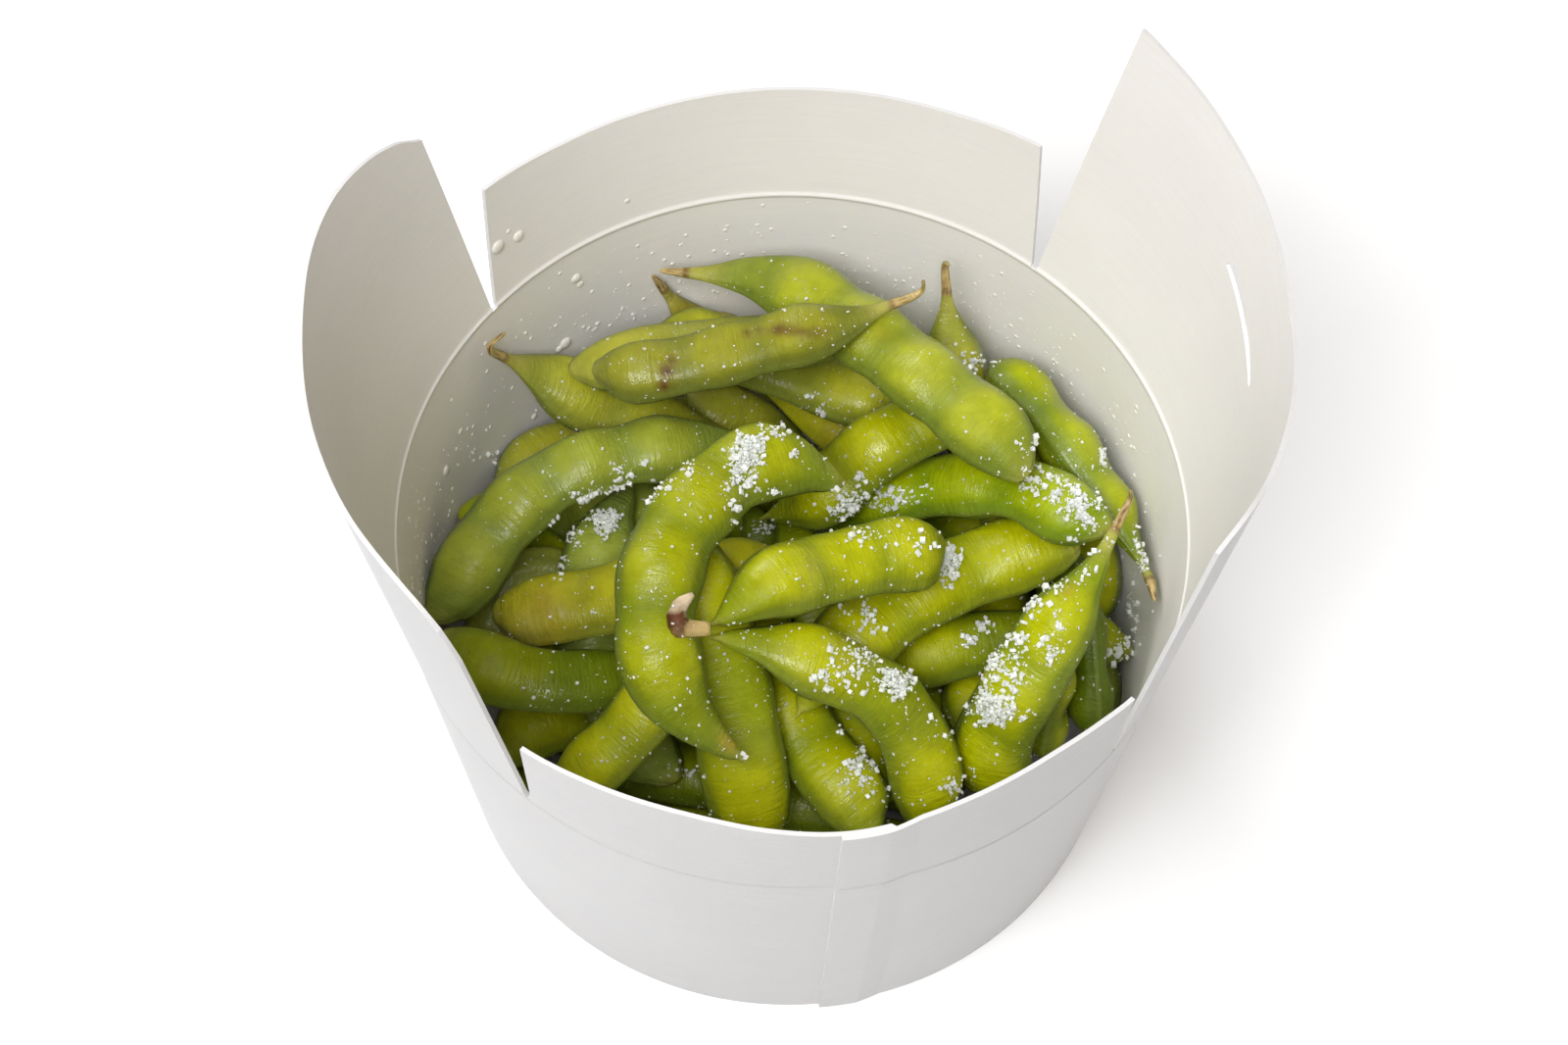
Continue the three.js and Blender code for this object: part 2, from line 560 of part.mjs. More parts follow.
// The rings round a hooked stalk's dry end, which bends up and away, from its end inwards
function hookSections(pod) {
  const along = pod.beads[0].clone().sub(pod.beads[1]).normalize();
  const bend = new THREE.Vector3(0, 0, 1).addScaledVector(along, -along.z).normalize();
  const wide = pod.axes[0].wide.clone().normalize().multiplyScalar(HOOK_RADIUS);
  return [1, 0.5].map((share) => {
    const angle = rad(pod.hook) * share;
    const way = along.clone().multiplyScalar(Math.cos(angle)).addScaledVector(bend, Math.sin(angle));
    const thick = wide.clone().cross(way);
    if (thick.dot(pod.axes[0].thick) < 0) thick.negate();
    return { centre: pod.beads[0].clone().addScaledVector(way, HOOK_LENGTH * share), wide, thick };
  });
}

// The pod's skin: rings round its beads' curve, with more of them over the beans
function podSkin(pod) {
  pod.middle = new THREE.CatmullRomCurve3(pod.beads, false, "centripetal");
  const shares = [pod.share[0] * 0.96, pod.share[0] * 0.2, ...RING_SHARES];
  const rings = shares.map((f) => sectionAt(pod, f));
  if (pod.hook) rings.unshift(...hookSections(pod));
  const points = rings.flatMap(({ centre, wide, thick }) =>
    Array.from({ length: RING_SIDES }, (_, k) => {
      const angle = (2 * Math.PI * k) / RING_SIDES;
      const p = centre.clone().addScaledVector(wide, Math.cos(angle)).addScaledVector(thick, Math.sin(angle));
      return p.toArray();
    }),
  );
  const faces = [];
  for (let ring = 0; ring < rings.length - 1; ring++)
    for (let k = 0; k < RING_SIDES; k++) {
      const [a, b] = [ring * RING_SIDES + k, ring * RING_SIDES + ((k + 1) % RING_SIDES)];
      faces.push([a, b, b + RING_SIDES], [a, b + RING_SIDES, a + RING_SIDES]);
    }
  const outward = rings[0].centre.clone().sub(rings[1].centre).normalize();
  const start = rings[0].centre.clone().addScaledVector(outward, STUB_CAP);
  points.push(start.toArray(), pod.beads[BEADS - 1].toArray());
  const lastRing = (rings.length - 1) * RING_SIDES;
  for (let k = 0; k < RING_SIDES; k++) {
    const next = (k + 1) % RING_SIDES;
    faces.push([next, k, points.length - 2], [lastRing + k, lastRing + next, points.length - 1]);
  }
  return { points, faces };
}

// A clump of salt crystals, lying over the upper side of a pod
function saltClump(pod) {
  const [rows, columns] = SALT_GRID;
  const length = pod.spacing * (BEADS - 1);
  const under = [];
  const over = [];
  for (let i = 0; i < rows; i++) {
    const lengthwise = (2 * i) / (rows - 1) - 1;
    const section = sectionAt(pod, pod.salt + (lengthwise * SALT_LENGTH) / 2 / length);
    const top = Math.atan2(section.thick.z, section.wide.z);
    for (let j = 0; j < columns; j++) {
      const crosswise = (2 * j) / (columns - 1) - 1;
      const drawnIn = 1 - 0.4 * lengthwise ** 2 - 0.3 * draw();
      const angle = top + (crosswise * drawnIn * SALT_SPREAD) / 2;
      const skin = section.wide.clone().multiplyScalar(Math.cos(angle));
      skin.addScaledVector(section.thick, Math.sin(angle));
      const reached = skin.length();
      const inner = section.centre.clone().addScaledVector(skin, (reached + SALT_GAP) / reached);
      const middle = Math.max(1 - Math.max(lengthwise ** 2, crosswise ** 2), 0);
      const height = THREE.MathUtils.lerp(SALT_LEAST, SALT_MOST, middle * draw());
      over.push(inner.clone().addScaledVector(skin, height / reached).toArray());
      under.push(inner.toArray());
    }
  }
  const quads = [];
  for (let i = 0; i < rows - 1; i++)
    for (let j = 0; j < columns - 1; j++) {
      const a = i * columns + j;
      quads.push([a, a + 1, a + columns + 1, a + columns]);
    }
  return thickSheet(over, under, quads);
}

// A closed mesh of points and faces as a solid, turned so that its faces point out
function solidOf({ points, faces }) {
  const make = (list) =>
    new wasm.Manifold(
      new wasm.Mesh({
        numProp: 3,
        vertProperties: Float32Array.from(points.flat()),
        triVerts: Uint32Array.from(list.flat()),
      }),
    );
  const solid = make(faces);
  return solid.volume() > 0 ? solid : make(faces.map(([a, b, c]) => [a, c, b]));
}

function meshOfSolid(name, solid, material) {
  const { vertProperties, triVerts } = solid.getMesh();
  const geometry = new THREE.BufferGeometry();
  geometry.setAttribute("position", new THREE.Float32BufferAttribute(vertProperties, 3));
  geometry.setIndex([...triVerts]);
  const mesh = new THREE.Mesh(mergeVertices(geometry), material);
  mesh.name = name;
  return mesh;
}

const food = new THREE.Group();
const carton = new THREE.Group();

const sheet = cartonSheet();
carton.add(closedMesh("carton_wall", sheet.points, sheet.faces, board));
carton.add(cartonBase());

const firstShown = LOWEST_START + LOOSE_RISE * LOOSE_PODS;
const shown = LAYOUT.map((pod, i) => ({ ...pod, start: firstShown + SHOWN_RISE * i }));
const pods = [...loosePods(), ...TUCKED, ...shown];
settle(pods);

const numbered = (kind, index) => `${kind}_${String(index + 1).padStart(2, "0")}`;
const twins = pods.filter((pod) => pod.twin).map((pod) => solidOf(podSkin(pod)));
pods
  .filter((pod) => !pod.twin)
  .forEach((pod, i) => {
    food.add(meshOfSolid(numbered("pod", i), solidOf(podSkin(pod)), pod.ripe ? podRipe : podGreen));
  });
food.add(meshOfSolid("pod_twins", twins[0].add(twins[1]), podGreen));
pods
  .filter((pod) => pod.salt)
  .forEach((pod, i) => {
    food.add(meshOfSolid(numbered("salt", i), solidOf(saltClump(pod)), saltWhite));
  });

const bundle = new THREE.Group();
bundle.add(carton, food);

export default bundle;
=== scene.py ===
import math
import random

import bmesh
import bpy
import numpy as np
from mathutils import Matrix, Vector, noise
from mathutils.bvhtree import BVHTree


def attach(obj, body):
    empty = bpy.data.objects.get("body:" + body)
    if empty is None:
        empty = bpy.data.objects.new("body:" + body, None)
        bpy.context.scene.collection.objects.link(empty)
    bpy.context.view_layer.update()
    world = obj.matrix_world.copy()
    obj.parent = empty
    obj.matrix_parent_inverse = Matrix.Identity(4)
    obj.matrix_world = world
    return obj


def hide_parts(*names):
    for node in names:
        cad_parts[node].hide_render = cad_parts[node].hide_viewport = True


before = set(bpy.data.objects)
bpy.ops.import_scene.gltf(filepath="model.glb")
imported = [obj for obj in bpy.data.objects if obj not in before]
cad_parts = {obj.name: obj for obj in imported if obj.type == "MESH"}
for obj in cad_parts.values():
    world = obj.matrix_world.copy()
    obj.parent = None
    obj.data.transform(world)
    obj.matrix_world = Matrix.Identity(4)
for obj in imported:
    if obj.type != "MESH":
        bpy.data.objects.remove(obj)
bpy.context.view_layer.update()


# Camera. It looks down into the open carton at sixty degrees, from two thirds of a metre away in front,
# with a long lens, rolled two degrees anticlockwise. It was worked out from the carton's rim and flaps.
MM = 0.001
CAMERA_PLACE = Vector((-1.345, -320.201, 619.232)) * MM
CAMERA_FORWARD = Vector((0.0, 0.498862, -0.866681))
CAMERA_ROLL = math.radians(2.0335)
FOCAL_PIXELS = 4200.4
PHOTO_SIZE = (1600, 1066)
SENSOR_WIDTH = 36.0

level_up = Vector((0.0, -CAMERA_FORWARD.z, CAMERA_FORWARD.y))
camera_right = math.cos(CAMERA_ROLL) * Vector((1, 0, 0)) + math.sin(CAMERA_ROLL) * level_up
camera_up = math.cos(CAMERA_ROLL) * level_up - math.sin(CAMERA_ROLL) * Vector((1, 0, 0))

lens = bpy.data.cameras.new("photo_camera")
lens.sensor_width = SENSOR_WIDTH
lens.lens = SENSOR_WIDTH * FOCAL_PIXELS / PHOTO_SIZE[0]
lens.clip_start, lens.clip_end = 0.01, 20.0
camera = bpy.data.objects.new("photo_camera", lens)
bpy.context.scene.collection.objects.link(camera)
axes = Matrix((camera_right, camera_up, -CAMERA_FORWARD)).transposed()
camera.matrix_world = Matrix.Translation(CAMERA_PLACE) @ axes.to_4x4()
bpy.context.scene.camera = camera


def line_of_sight(x, y):
    """The direction from the camera through a point of the photograph."""
    across = (x - PHOTO_SIZE[0] / 2) / FOCAL_PIXELS
    upward = (PHOTO_SIZE[1] / 2 - y) / FOCAL_PIXELS
    return (CAMERA_FORWARD + camera_right * across + camera_up * upward).normalized()


# Studio. A plain white table under four large soft lights, in front, at the left, overhead and behind,
# and a weak warm one at the right. Their strengths were worked out from the tones in the photograph.
def soft_light(name, place, towards, size, power, colour=(1, 1, 1)):
    """A large rectangular light at a place, turned towards a point."""
    light = bpy.data.lights.new(name, "AREA")
    light.shape = "RECTANGLE"
    light.size, light.size_y = size
    light.energy = power
    light.color = colour
    lamp = bpy.data.objects.new(name, light)
    bpy.context.scene.collection.objects.link(lamp)
    lamp.location = place
    lamp.rotation_euler = (Vector(towards) - Vector(place)).to_track_quat("-Z", "Y").to_euler()


soft_light("front_window", (-0.12, -0.6, 1.05), (0, 0, 0.05), (0.5, 0.5), 8.6)
soft_light("front_left_window", (-0.5, -0.5, 1.05), (0, 0, 0.05), (0.5, 0.5), 5.4)
soft_light("overhead", (0.0, 0.1, 1.15), (0, 0, 0.05), (0.8, 0.8), 3.0)
soft_light("back_left_window", (-0.6, 0.75, 0.85), (0, 0, 0.05), (0.6, 0.6), 6.4, (0.97, 0.98, 1.0))
soft_light("warm_wall", (0.9, 0.55, 0.8), (0, 0, 0.05), (0.6, 0.6), 1.5, (1.0, 0.74, 0.5))

surroundings = bpy.data.worlds.new("white_studio")
bpy.context.scene.world = surroundings
surroundings.use_nodes = True
surroundings.node_tree.nodes["Background"].inputs["Color"].default_value = (1.0, 1.0, 1.0, 1)
surroundings.node_tree.nodes["Background"].inputs["Strength"].default_value = 0.02
bpy.context.scene.view_settings.view_transform = "Standard"

table_paint = bpy.data.materials.new("table_white")
table_paint.use_nodes = True
table_shader = table_paint.node_tree.nodes["Principled BSDF"]
table_shader.inputs["Base Color"].default_value = (0.96, 0.96, 0.96, 1)
table_shader.inputs["Roughness"].default_value = 0.9
table_shader.inputs["Emission Color"].default_value = (1, 1, 1, 1)
table_shader.inputs["Emission Strength"].default_value = 0.12
table_mesh = bpy.data.meshes.new("table")
table_mesh.from_pydata([(-3, -3, 0), (3, -3, 0), (3, 3, 0), (-3, 3, 0)], [], [(0, 1, 2, 3)])
table_mesh.materials.append(table_paint)
table = bpy.data.objects.new("table", table_mesh)
table.location.z = -0.0004
bpy.context.scene.collection.objects.link(table)


# Carton wall. One die-cut sheet of white coated paperboard, rolled to a cone and glued to itself in
# front, with a curved crease all round and four flaps above it, parted by four cuts. The taller flap on
# the right has a slot, to hold the one on the left when closed. Sizes are in millimetres and degrees.
FOOT_RADIUS, CREASE_RADIUS, CREASE_HEIGHT = 54.2, 62.5, 63.0
BOARD = 0.7
CUT_HALF = 0.5
BEAD_RISE, BEAD_HALF = 0.26, 0.4
GROOVE_DEPTH, GROOVE_HALF = 0.3, 0.3
SEAM_START, SEAM_END, SEAM_SETTLED, SEAM_STEP = 277.5, 284.0, 288.0, 0.06
SLOT_START, SLOT_END, SLOT_LOW, SLOT_HIGH = 6.5, 24.0, 31.5, 35.0

right_flap = dict(crease=(-37.5, 52.5), top=(-32.5, 49.5), outline=[
    (-32.5, 60, 7), (-27, 61, 7.6), (-20, 58.5, 8.4), (-12, 56, 9.3), (-5, 54, 10.2), (2, 52, 11.1),
    (7.5, 51, 11.8), (13, 50.5, 12.7), (19, 50.5, 13.6), (25, 51, 14.4), (31, 51.5, 15), (38, 52.5, 15.6),
    (45, 53.6, 16), (49.5, 54.7, 16)])
back_flap = dict(crease=(52.5, 142.5), top=(56, 139), outline=[
    (56, 24.8, 11.5), (70, 23.4, 11.5), (97.5, 23, 11.5), (125, 23, 11.5), (139, 24.2, 11.5)])
left_flap = dict(crease=(142.5, 232.5), top=(145, 228.5), outline=[
    (145, 43, 12), (149, 47, 12), (154, 50.3, 12), (160, 52.8, 12), (166, 54, 11.9), (172, 54, 11.7),
    (178, 53, 11.4), (184, 52.6, 11), (192, 53, 10.4), (200, 54.5, 9.6), (208, 56.5, 9), (216, 58, 8.4),
    (222, 57, 8.1), (226, 53.5, 8), (228.5, 46, 8)])
front_flap = dict(crease=(232.5, 322.5), top=(233.7, 321.3), outline=[
    (233.7, 24, 7.3), (245, 24, 5.5), (258, 24, 4.6), (270, 24, 6.5), (278, 24, 7.6), (284, 24, 7),
    (295, 24, 5), (307, 24, 4.2), (315, 24, 5.5), (321.3, 24, 7.3)])
flaps = [right_flap, back_flap, left_flap, front_flap]


def smooth_between(rows, at, column):
    """A value from an outline's rows, on a smooth line through them."""
    angles = [row[0] for row in rows]
    values = [row[column] for row in rows]
    at = min(max(at, angles[0]), angles[-1])
    k = min(max(int(np.searchsorted(angles, at)) - 1, 0), len(rows) - 2)
    t = (at - angles[k]) / (angles[k + 1] - angles[k])
    before, after = values[max(k - 1, 0)], values[min(k + 2, len(rows) - 1)]
    a, b = values[k], values[k + 1]
    slope_a, slope_b = (b - before) / 2, (after - a) / 2
    h = t * t * (3 - 2 * t)
    return a + (b - a) * h + slope_a * (t**3 - 2 * t**2 + t) + slope_b * (t**3 - t**2)


def sheet_faces_shift(angle, from_crease):
    """How far the sheet's two faces lie outside the plain cone: seam, crease bead and groove."""
    a = angle % 360
    if SEAM_START <= a <= SEAM_END:
        outer, inner = BOARD, 0.0
    elif SEAM_END < a < SEAM_SETTLED:
        lap = BOARD * (SEAM_SETTLED - a) / (SEAM_SETTLED - SEAM_END)
        outer, inner = lap, lap
    else:
        outer, inner = 0.0, 0.0
    outer -= GROOVE_DEPTH * math.exp(-((from_crease / GROOVE_HALF) ** 2))
    inner -= BEAD_RISE * math.exp(-((from_crease / BEAD_HALF) ** 2))
    return outer, inner - BOARD


def sheet_pair(angle, radius, z, lean, from_crease):
    """The outer and the inner point of the sheet at one place."""
    direction = Vector((math.cos(math.radians(angle)), math.sin(math.radians(angle)), 0))
    pair = []
    for shift in sheet_faces_shift(angle, from_crease):
        raised = -shift * math.sin(math.radians(lean)) if z > CREASE_HEIGHT and shift < 0 else 0.0
        flat = direction * (radius + shift * math.cos(math.radians(lean)))
        pair.append(Vector((flat.x, flat.y, z + raised)) * MM)
    return pair


wall_lean = math.degrees(math.atan((CREASE_RADIUS - FOOT_RADIUS) / CREASE_HEIGHT))
wall_length = math.hypot(CREASE_HEIGHT, CREASE_RADIUS - FOOT_RADIUS)
WALL_ROWS = [-wall_length, -56, -48, -40, -32, -24, -16, -9, -4, -1.6, -1.0, -0.7, -0.45, -0.25, -0.1, 0.0]
FLAP_STARTS = [0.1, 0.25, 0.45, 0.7, 1.0, 1.6]
COLUMNS_PER_FLAP = 75
ROWS_BELOW_SLOT, ROWS_ABOVE_SLOT, ROWS_UNSLOTTED = 8, 7, 13

columns = []
for index, flap in enumerate(flaps):
    low, high = flap["crease"][0] + CUT_HALF, flap["crease"][1] - CUT_HALF
    angles = set(np.linspace(low, high, COLUMNS_PER_FLAP).round(4).tolist())
    if flap is right_flap:
        angles |= {SLOT_START, SLOT_END}
    if flap is front_flap:
        angles |= {SEAM_START - SEAM_STEP, SEAM_START, SEAM_END, SEAM_END + SEAM_STEP, SEAM_SETTLED}
    columns += [(angle, index) for angle in sorted(angles)]

outer_face, inner_face, grid, flat_places = [], [], [], []
for angle, index in columns:
    flap = flaps[index]
    share = (angle - flap["crease"][0]) / (flap["crease"][1] - flap["crease"][0])
    top_angle = flap["top"][0] + share * (flap["top"][1] - flap["top"][0])
    height = smooth_between(flap["outline"], top_angle, 1)
    lean = smooth_between(flap["outline"], top_angle, 2)
    if flap is right_flap:
        along_slot = min(max((angle - SLOT_START) / (SLOT_END - SLOT_START), 0), 1)
        low = SLOT_LOW + along_slot * (SLOT_HIGH - SLOT_LOW)
        # the slot gapes more towards its far end, where it closes to a narrow corner
        mouth = 0.8 + 1.0 * math.sin(math.pi * min(along_slot * 1.5, 0.5)) + 3.0 * max(along_slot - 0.5, 0)
        mouth *= 0.25 + 0.75 * min(1, (1 - along_slot) / 0.08)
        rises = np.linspace(FLAP_STARTS[-1], low, ROWS_BELOW_SLOT + 1)[1:].tolist()
        rises += np.linspace(low + mouth, height, ROWS_ABOVE_SLOT).tolist()
    else:
        rises = np.linspace(FLAP_STARTS[-1], height, ROWS_UNSLOTTED + 1)[1:].tolist()
    column = []
    for s in [*WALL_ROWS, *FLAP_STARTS, *rises]:
        if s <= 0:
            share_down = -s / wall_length
            radius = CREASE_RADIUS + (FOOT_RADIUS - CREASE_RADIUS) * share_down
            pair = sheet_pair(angle, radius, CREASE_HEIGHT * (1 - share_down), wall_lean, s)
        else:
            at = angle + (top_angle - angle) * s / height
            radius = CREASE_RADIUS + s * math.sin(math.radians(lean))
            pair = sheet_pair(at, radius, CREASE_HEIGHT + s * math.cos(math.radians(lean)), lean, s)
        column.append(len(outer_face))
        outer_face.append(pair[0])
        inner_face.append(pair[1])
        flat_places.append((math.radians(angle) * CREASE_RADIUS * MM, s * MM))
    grid.append(column)

slot_row = len(WALL_ROWS) + len(FLAP_STARTS) + ROWS_BELOW_SLOT - 1
quads, outer_steps, inner_steps = [], set(), set()
for k, (angle, index) in enumerate(columns):
    after = (k + 1) % len(columns)
    same_flap = columns[after][1] == index
    last_row = len(grid[k]) - 1 if same_flap else len(WALL_ROWS) - 1
    for row in range(last_row):
        beside_slot = SLOT_START <= angle and columns[after][0] <= SLOT_END
        in_slot = flaps[index] is right_flap and row == slot_row and beside_slot
        if not in_slot:
            quads.append((grid[k][row], grid[after][row], grid[after][row + 1], grid[k][row + 1]))
            if columns[after][0] == SEAM_START:
                outer_steps.add(quads[-1])
            if columns[k][0] == SEAM_END:
                inner_steps.add(quads[-1])
slot_rim = {
    grid[k][row]
    for k, (angle, index) in enumerate(columns)
    if flaps[index] is right_flap and SLOT_START <= angle <= SLOT_END
    for row in (slot_row, slot_row + 1)
}


def board_mesh(name, outer, inner, quads):
    """Closes a sheet: outer face, inner face, cut edges and the slot's edges, as materials 0 to 3."""
    count = len(outer)
    faces, kinds, free = [], [], {}
    for a, b, c, d in quads:
        faces += [(a, b, c, d), (a + count, d + count, c + count, b + count)]
        kinds += [2 if (a, b, c, d) in outer_steps else 0, 2 if (a, b, c, d) in inner_steps else 1]
        for edge in ((a, b), (b, c), (c, d), (d, a)):
            if (edge[1], edge[0]) in free:
                del free[(edge[1], edge[0])]
            else:
                free[edge] = True
    for a, b in free:
        faces.append((b, a, a + count, b + count))
        kinds.append(3 if a in slot_rim and b in slot_rim else 2)
    mesh = bpy.data.meshes.new(name)
    mesh.from_pydata([tuple(p) for p in [*outer, *inner]], [], faces)
    mesh.polygons.foreach_set("material_index", kinds)
    mesh.polygons.foreach_set("use_smooth", [kind < 2 for kind in kinds])
    places = mesh.uv_layers.new(name="sheet")
    for loop in mesh.loops:
        places.data[loop.index].uv = flat_places[loop.vertex_index % count]
    mesh.update()
    sharp = mesh.attributes.new("sharp_edge", "BOOLEAN", "EDGE")
    free_pairs = {frozenset(edge) for edge in free}
    seam_angles = {SEAM_START - SEAM_STEP, SEAM_START, SEAM_END, SEAM_END + SEAM_STEP}
    for k, (angle, _) in enumerate(columns):
        if angle in seam_angles:
            free_pairs |= {frozenset(pair) for pair in zip(grid[k], grid[k][1:])}
    for edge in mesh.edges:
        pair = frozenset(v % count for v in edge.vertices)
        sharp.data[edge.index].value = pair in free_pairs or len(pair) == 1
    return mesh


def board_finish(name, colour, roughness, fibre, coat, tooth_depth):
    """Coated paperboard: faint lines along the sheet, cloudy tone and a fine tooth."""
    material = bpy.data.materials.new(name)
    material.use_nodes = True
    nodes, links = material.node_tree.nodes, material.node_tree.links
    shader = nodes["Principled BSDF"]
    shader.inputs["Coat Weight"].default_value = coat
    shader.inputs["Coat Roughness"].default_value = 0.35
    shader.inputs["Subsurface Weight"].default_value = 0.3
    shader.inputs["Subsurface Radius"].default_value = (0.0026, 0.0023, 0.0018)
    place = nodes.new("ShaderNodeUVMap")
    place.uv_map = "sheet"
    stretch = nodes.new("ShaderNodeMapping")
    stretch.inputs["Scale"].default_value = (60, 1500, 1)
    links.new(place.outputs["UV"], stretch.inputs["Vector"])
    lines = nodes.new("ShaderNodeTexNoise")
    lines.inputs["Scale"].default_value = 1.0
    lines.inputs["Detail"].default_value = 4
    links.new(stretch.outputs["Vector"], lines.inputs["Vector"])
    cloud = nodes.new("ShaderNodeTexNoise")
    cloud.inputs["Scale"].default_value = 45
    cloud.inputs["Detail"].default_value = 3
    solid_place = nodes.new("ShaderNodeTexCoord")
    links.new(solid_place.outputs["Object"], cloud.inputs["Vector"])
    tone = nodes.new("ShaderNodeValToRGB")
    dark = [c * (1 - fibre) for c in colour]
    tone.color_ramp.elements[0].color = (*dark, 1)
    tone.color_ramp.elements[1].color = (*colour, 1)
    tone.color_ramp.elements[0].position = 0.3
    tone.color_ramp.elements[1].position = 0.62
    both = nodes.new("ShaderNodeMath")
    both.operation = "MULTIPLY_ADD"
    both.inputs[1].default_value = 0.6
    links.new(lines.outputs["Fac"], both.inputs[0])
    share = nodes.new("ShaderNodeMath")
    share.operation = "MULTIPLY"
    share.inputs[1].default_value = 0.4
    links.new(cloud.outputs["Fac"], share.inputs[0])
    links.new(share.outputs[0], both.inputs[2])
    links.new(both.outputs[0], tone.inputs["Fac"])
    links.new(tone.outputs["Color"], shader.inputs["Base Color"])
    rough = nodes.new("ShaderNodeMapRange")
    rough.inputs["To Min"].default_value = roughness - 0.06
    rough.inputs["To Max"].default_value = roughness + 0.06
    links.new(both.outputs[0], rough.inputs["Value"])
    links.new(rough.outputs["Result"], shader.inputs["Roughness"])
    tooth = nodes.new("ShaderNodeTexNoise")
    tooth.inputs["Scale"].default_value = 2600
    tooth.inputs["Detail"].default_value = 2
    links.new(solid_place.outputs["Object"], tooth.inputs["Vector"])
    relief = nodes.new("ShaderNodeMath")
    relief.operation = "ADD"
    links.new(lines.outputs["Fac"], relief.inputs[0])
    links.new(tooth.outputs["Fac"], relief.inputs[1])
    bump = nodes.new("ShaderNodeBump")
    bump.inputs["Strength"].default_value = tooth_depth
    bump.inputs["Distance"].default_value = 0.0002
    links.new(relief.outputs[0], bump.inputs["Height"])
    links.new(bump.outputs["Normal"], shader.inputs["Normal"])
    return material


# the outside finish is painted a darker grey than the inside one: painted shade on the outer wall
board_outside_painted_shade = board_finish("board_outside_painted_shade", (0.575, 0.565, 0.563), 0.4, 0.075, 0.15, 0.3)
board_inside = board_finish("board_inside", (0.885, 0.855, 0.83), 0.5, 0.04, 0.05, 0.15)
board_cut = board_finish("board_cut_edge", (0.74, 0.73, 0.72), 0.75, 0.06, 0.0, 0.3)
# the slot's edges are painted near white, brighter than the other cut edges: painted light
slot_edge_painted_light = board_finish("board_slot_edge_painted_light", (0.95, 0.94, 0.92), 0.75, 0.03, 0.0, 0.2)

wall_mesh = board_mesh("carton_sheet", outer_face, inner_face, quads)
for finish in (board_outside_painted_shade, board_inside, board_cut, slot_edge_painted_light):
    wall_mesh.materials.append(finish)
carton_sheet = bpy.data.objects.new("carton_sheet", wall_mesh)
bpy.context.scene.collection.objects.link(carton_sheet)
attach(carton_sheet, "root")
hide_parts("carton_wall")


# Carton floor. A shallow cup of the same board, pushed up into the wall and glued, standing on its
# turned-down edge. It keeps its solid and takes the board's outside finish, with its painted shade.
floor_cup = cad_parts["carton_base"]
floor_cup.data.materials.clear()
floor_finish = board_outside_painted_shade.copy()
floor_finish.name = "board_floor"
floor_cup.data.materials.append(floor_finish)
for polygon in floor_cup.data.polygons:
    polygon.material_index = 0


# Pods. Boiled soybean pods: a soft, downy, moist skin over two to four beans, pinched between them,
# with a raised seam along both edges, a neck towards the stalk, and a dry brown stalk end on some.
# Each keeps the path and the width of its solid.
POD_SIDES = 36
POD_STATIONS, END_CROWDING = 96, 0.035
FIRST_BEAN, LAST_BEAN, TIP_START = 0.3, 0.84, 0.86
SEAM_WIDTH, HOLLOW_PLACE, HOLLOW_WIDTH = 0.13, 0.34, 0.16

# the solids: sides of a ring, the fewest rings of a pod, the half width that a stalk's end stays below,
# and where along a pod's length its rings lie, with those of its stalk below nought
SOLID_SIDES, LEAST_RINGS, STALK_HALF = 8, 8, 1.5
SOLID_SHARES = [0.05, 0.14, 0.22, 0.3, 0.39, 0.48, 0.57, 0.66, 0.75, 0.84, 0.92, 0.975]
STALK_SHARES = {0: [], 2: [-0.066, -0.014], 4: [-0.12, -0.09, -0.066, -0.014]}

# beans in each pod, from pod_01 to pod_52
BEANS = "3333333333" "3323333333" "3233342223" "3232332222" "2233343343" "43"


def pod_sections(solid):
    """The middle, half width and half thickness of a solid's rings, from its stalk end to its tip."""
    shape = bmesh.new()
    shape.from_mesh(solid.data)
    bmesh.ops.remove_doubles(shape, verts=shape.verts, dist=2e-6)
    traces = []
    for pole in shape.verts:
        if len(pole.link_edges) != SOLID_SIDES:
            continue
        seen, layer, rings = {pole}, [pole], []
        while True:
            following = []
            for v in layer:
                for edge in v.link_edges:
                    other = edge.other_vert(v)
                    if other not in seen:
                        seen.add(other)
                        following.append(other)
            if len(following) != SOLID_SIDES:
                break
            rings.append([v.co.copy() for v in following])
            layer = following
        if len(rings) >= LEAST_RINGS:
            traces.append((pole.co.copy(), rings))
    shape.free()
    found = []
    for pole, rings in traces:
        first_reach = max((p - sum(rings[0], Vector()) / SOLID_SIDES).length for p in rings[0])
        if first_reach < STALK_HALF * MM:
            continue
        sections = [(pole, Vector(), Vector())]
        last_wide = None
        for ring in rings:
            middle = sum(ring, Vector()) / SOLID_SIDES
            spokes = [p - middle for p in ring]
            if last_wide is None:
                wide = max(spokes, key=lambda s: s.length)
            else:
                wide = max(spokes, key=lambda s: s.normalized().dot(last_wide))
            thick = min(spokes, key=lambda s: abs(s.normalized().dot(wide.normalized())))
            if last_wide is not None:
                before = sections[-1][2]
                if thick.dot(before) < 0:
                    thick = -thick
            last_wide = wide.normalized()
            sections.append((middle, wide.copy(), thick.copy()))
        found.append(sections[::-1])
    return found


def through(points, at):
    """A smooth curve through evenly numbered rows of values, read at fractional row numbers."""
    rows = np.array(points, float)
    k = np.clip(at.astype(int), 0, len(rows) - 2)
    t = (at - k)[:, None]
    before, after = rows[np.maximum(k - 1, 0)], rows[np.minimum(k + 2, len(rows) - 1)]
    a, b = rows[k], rows[k + 1]
    return (
        a
        + t * (b - before) / 2
        + t * t * (before - 2.5 * a + 2 * b - after / 2)
        + t**3 * (1.5 * (a - b) + (after - before) / 2)
    )


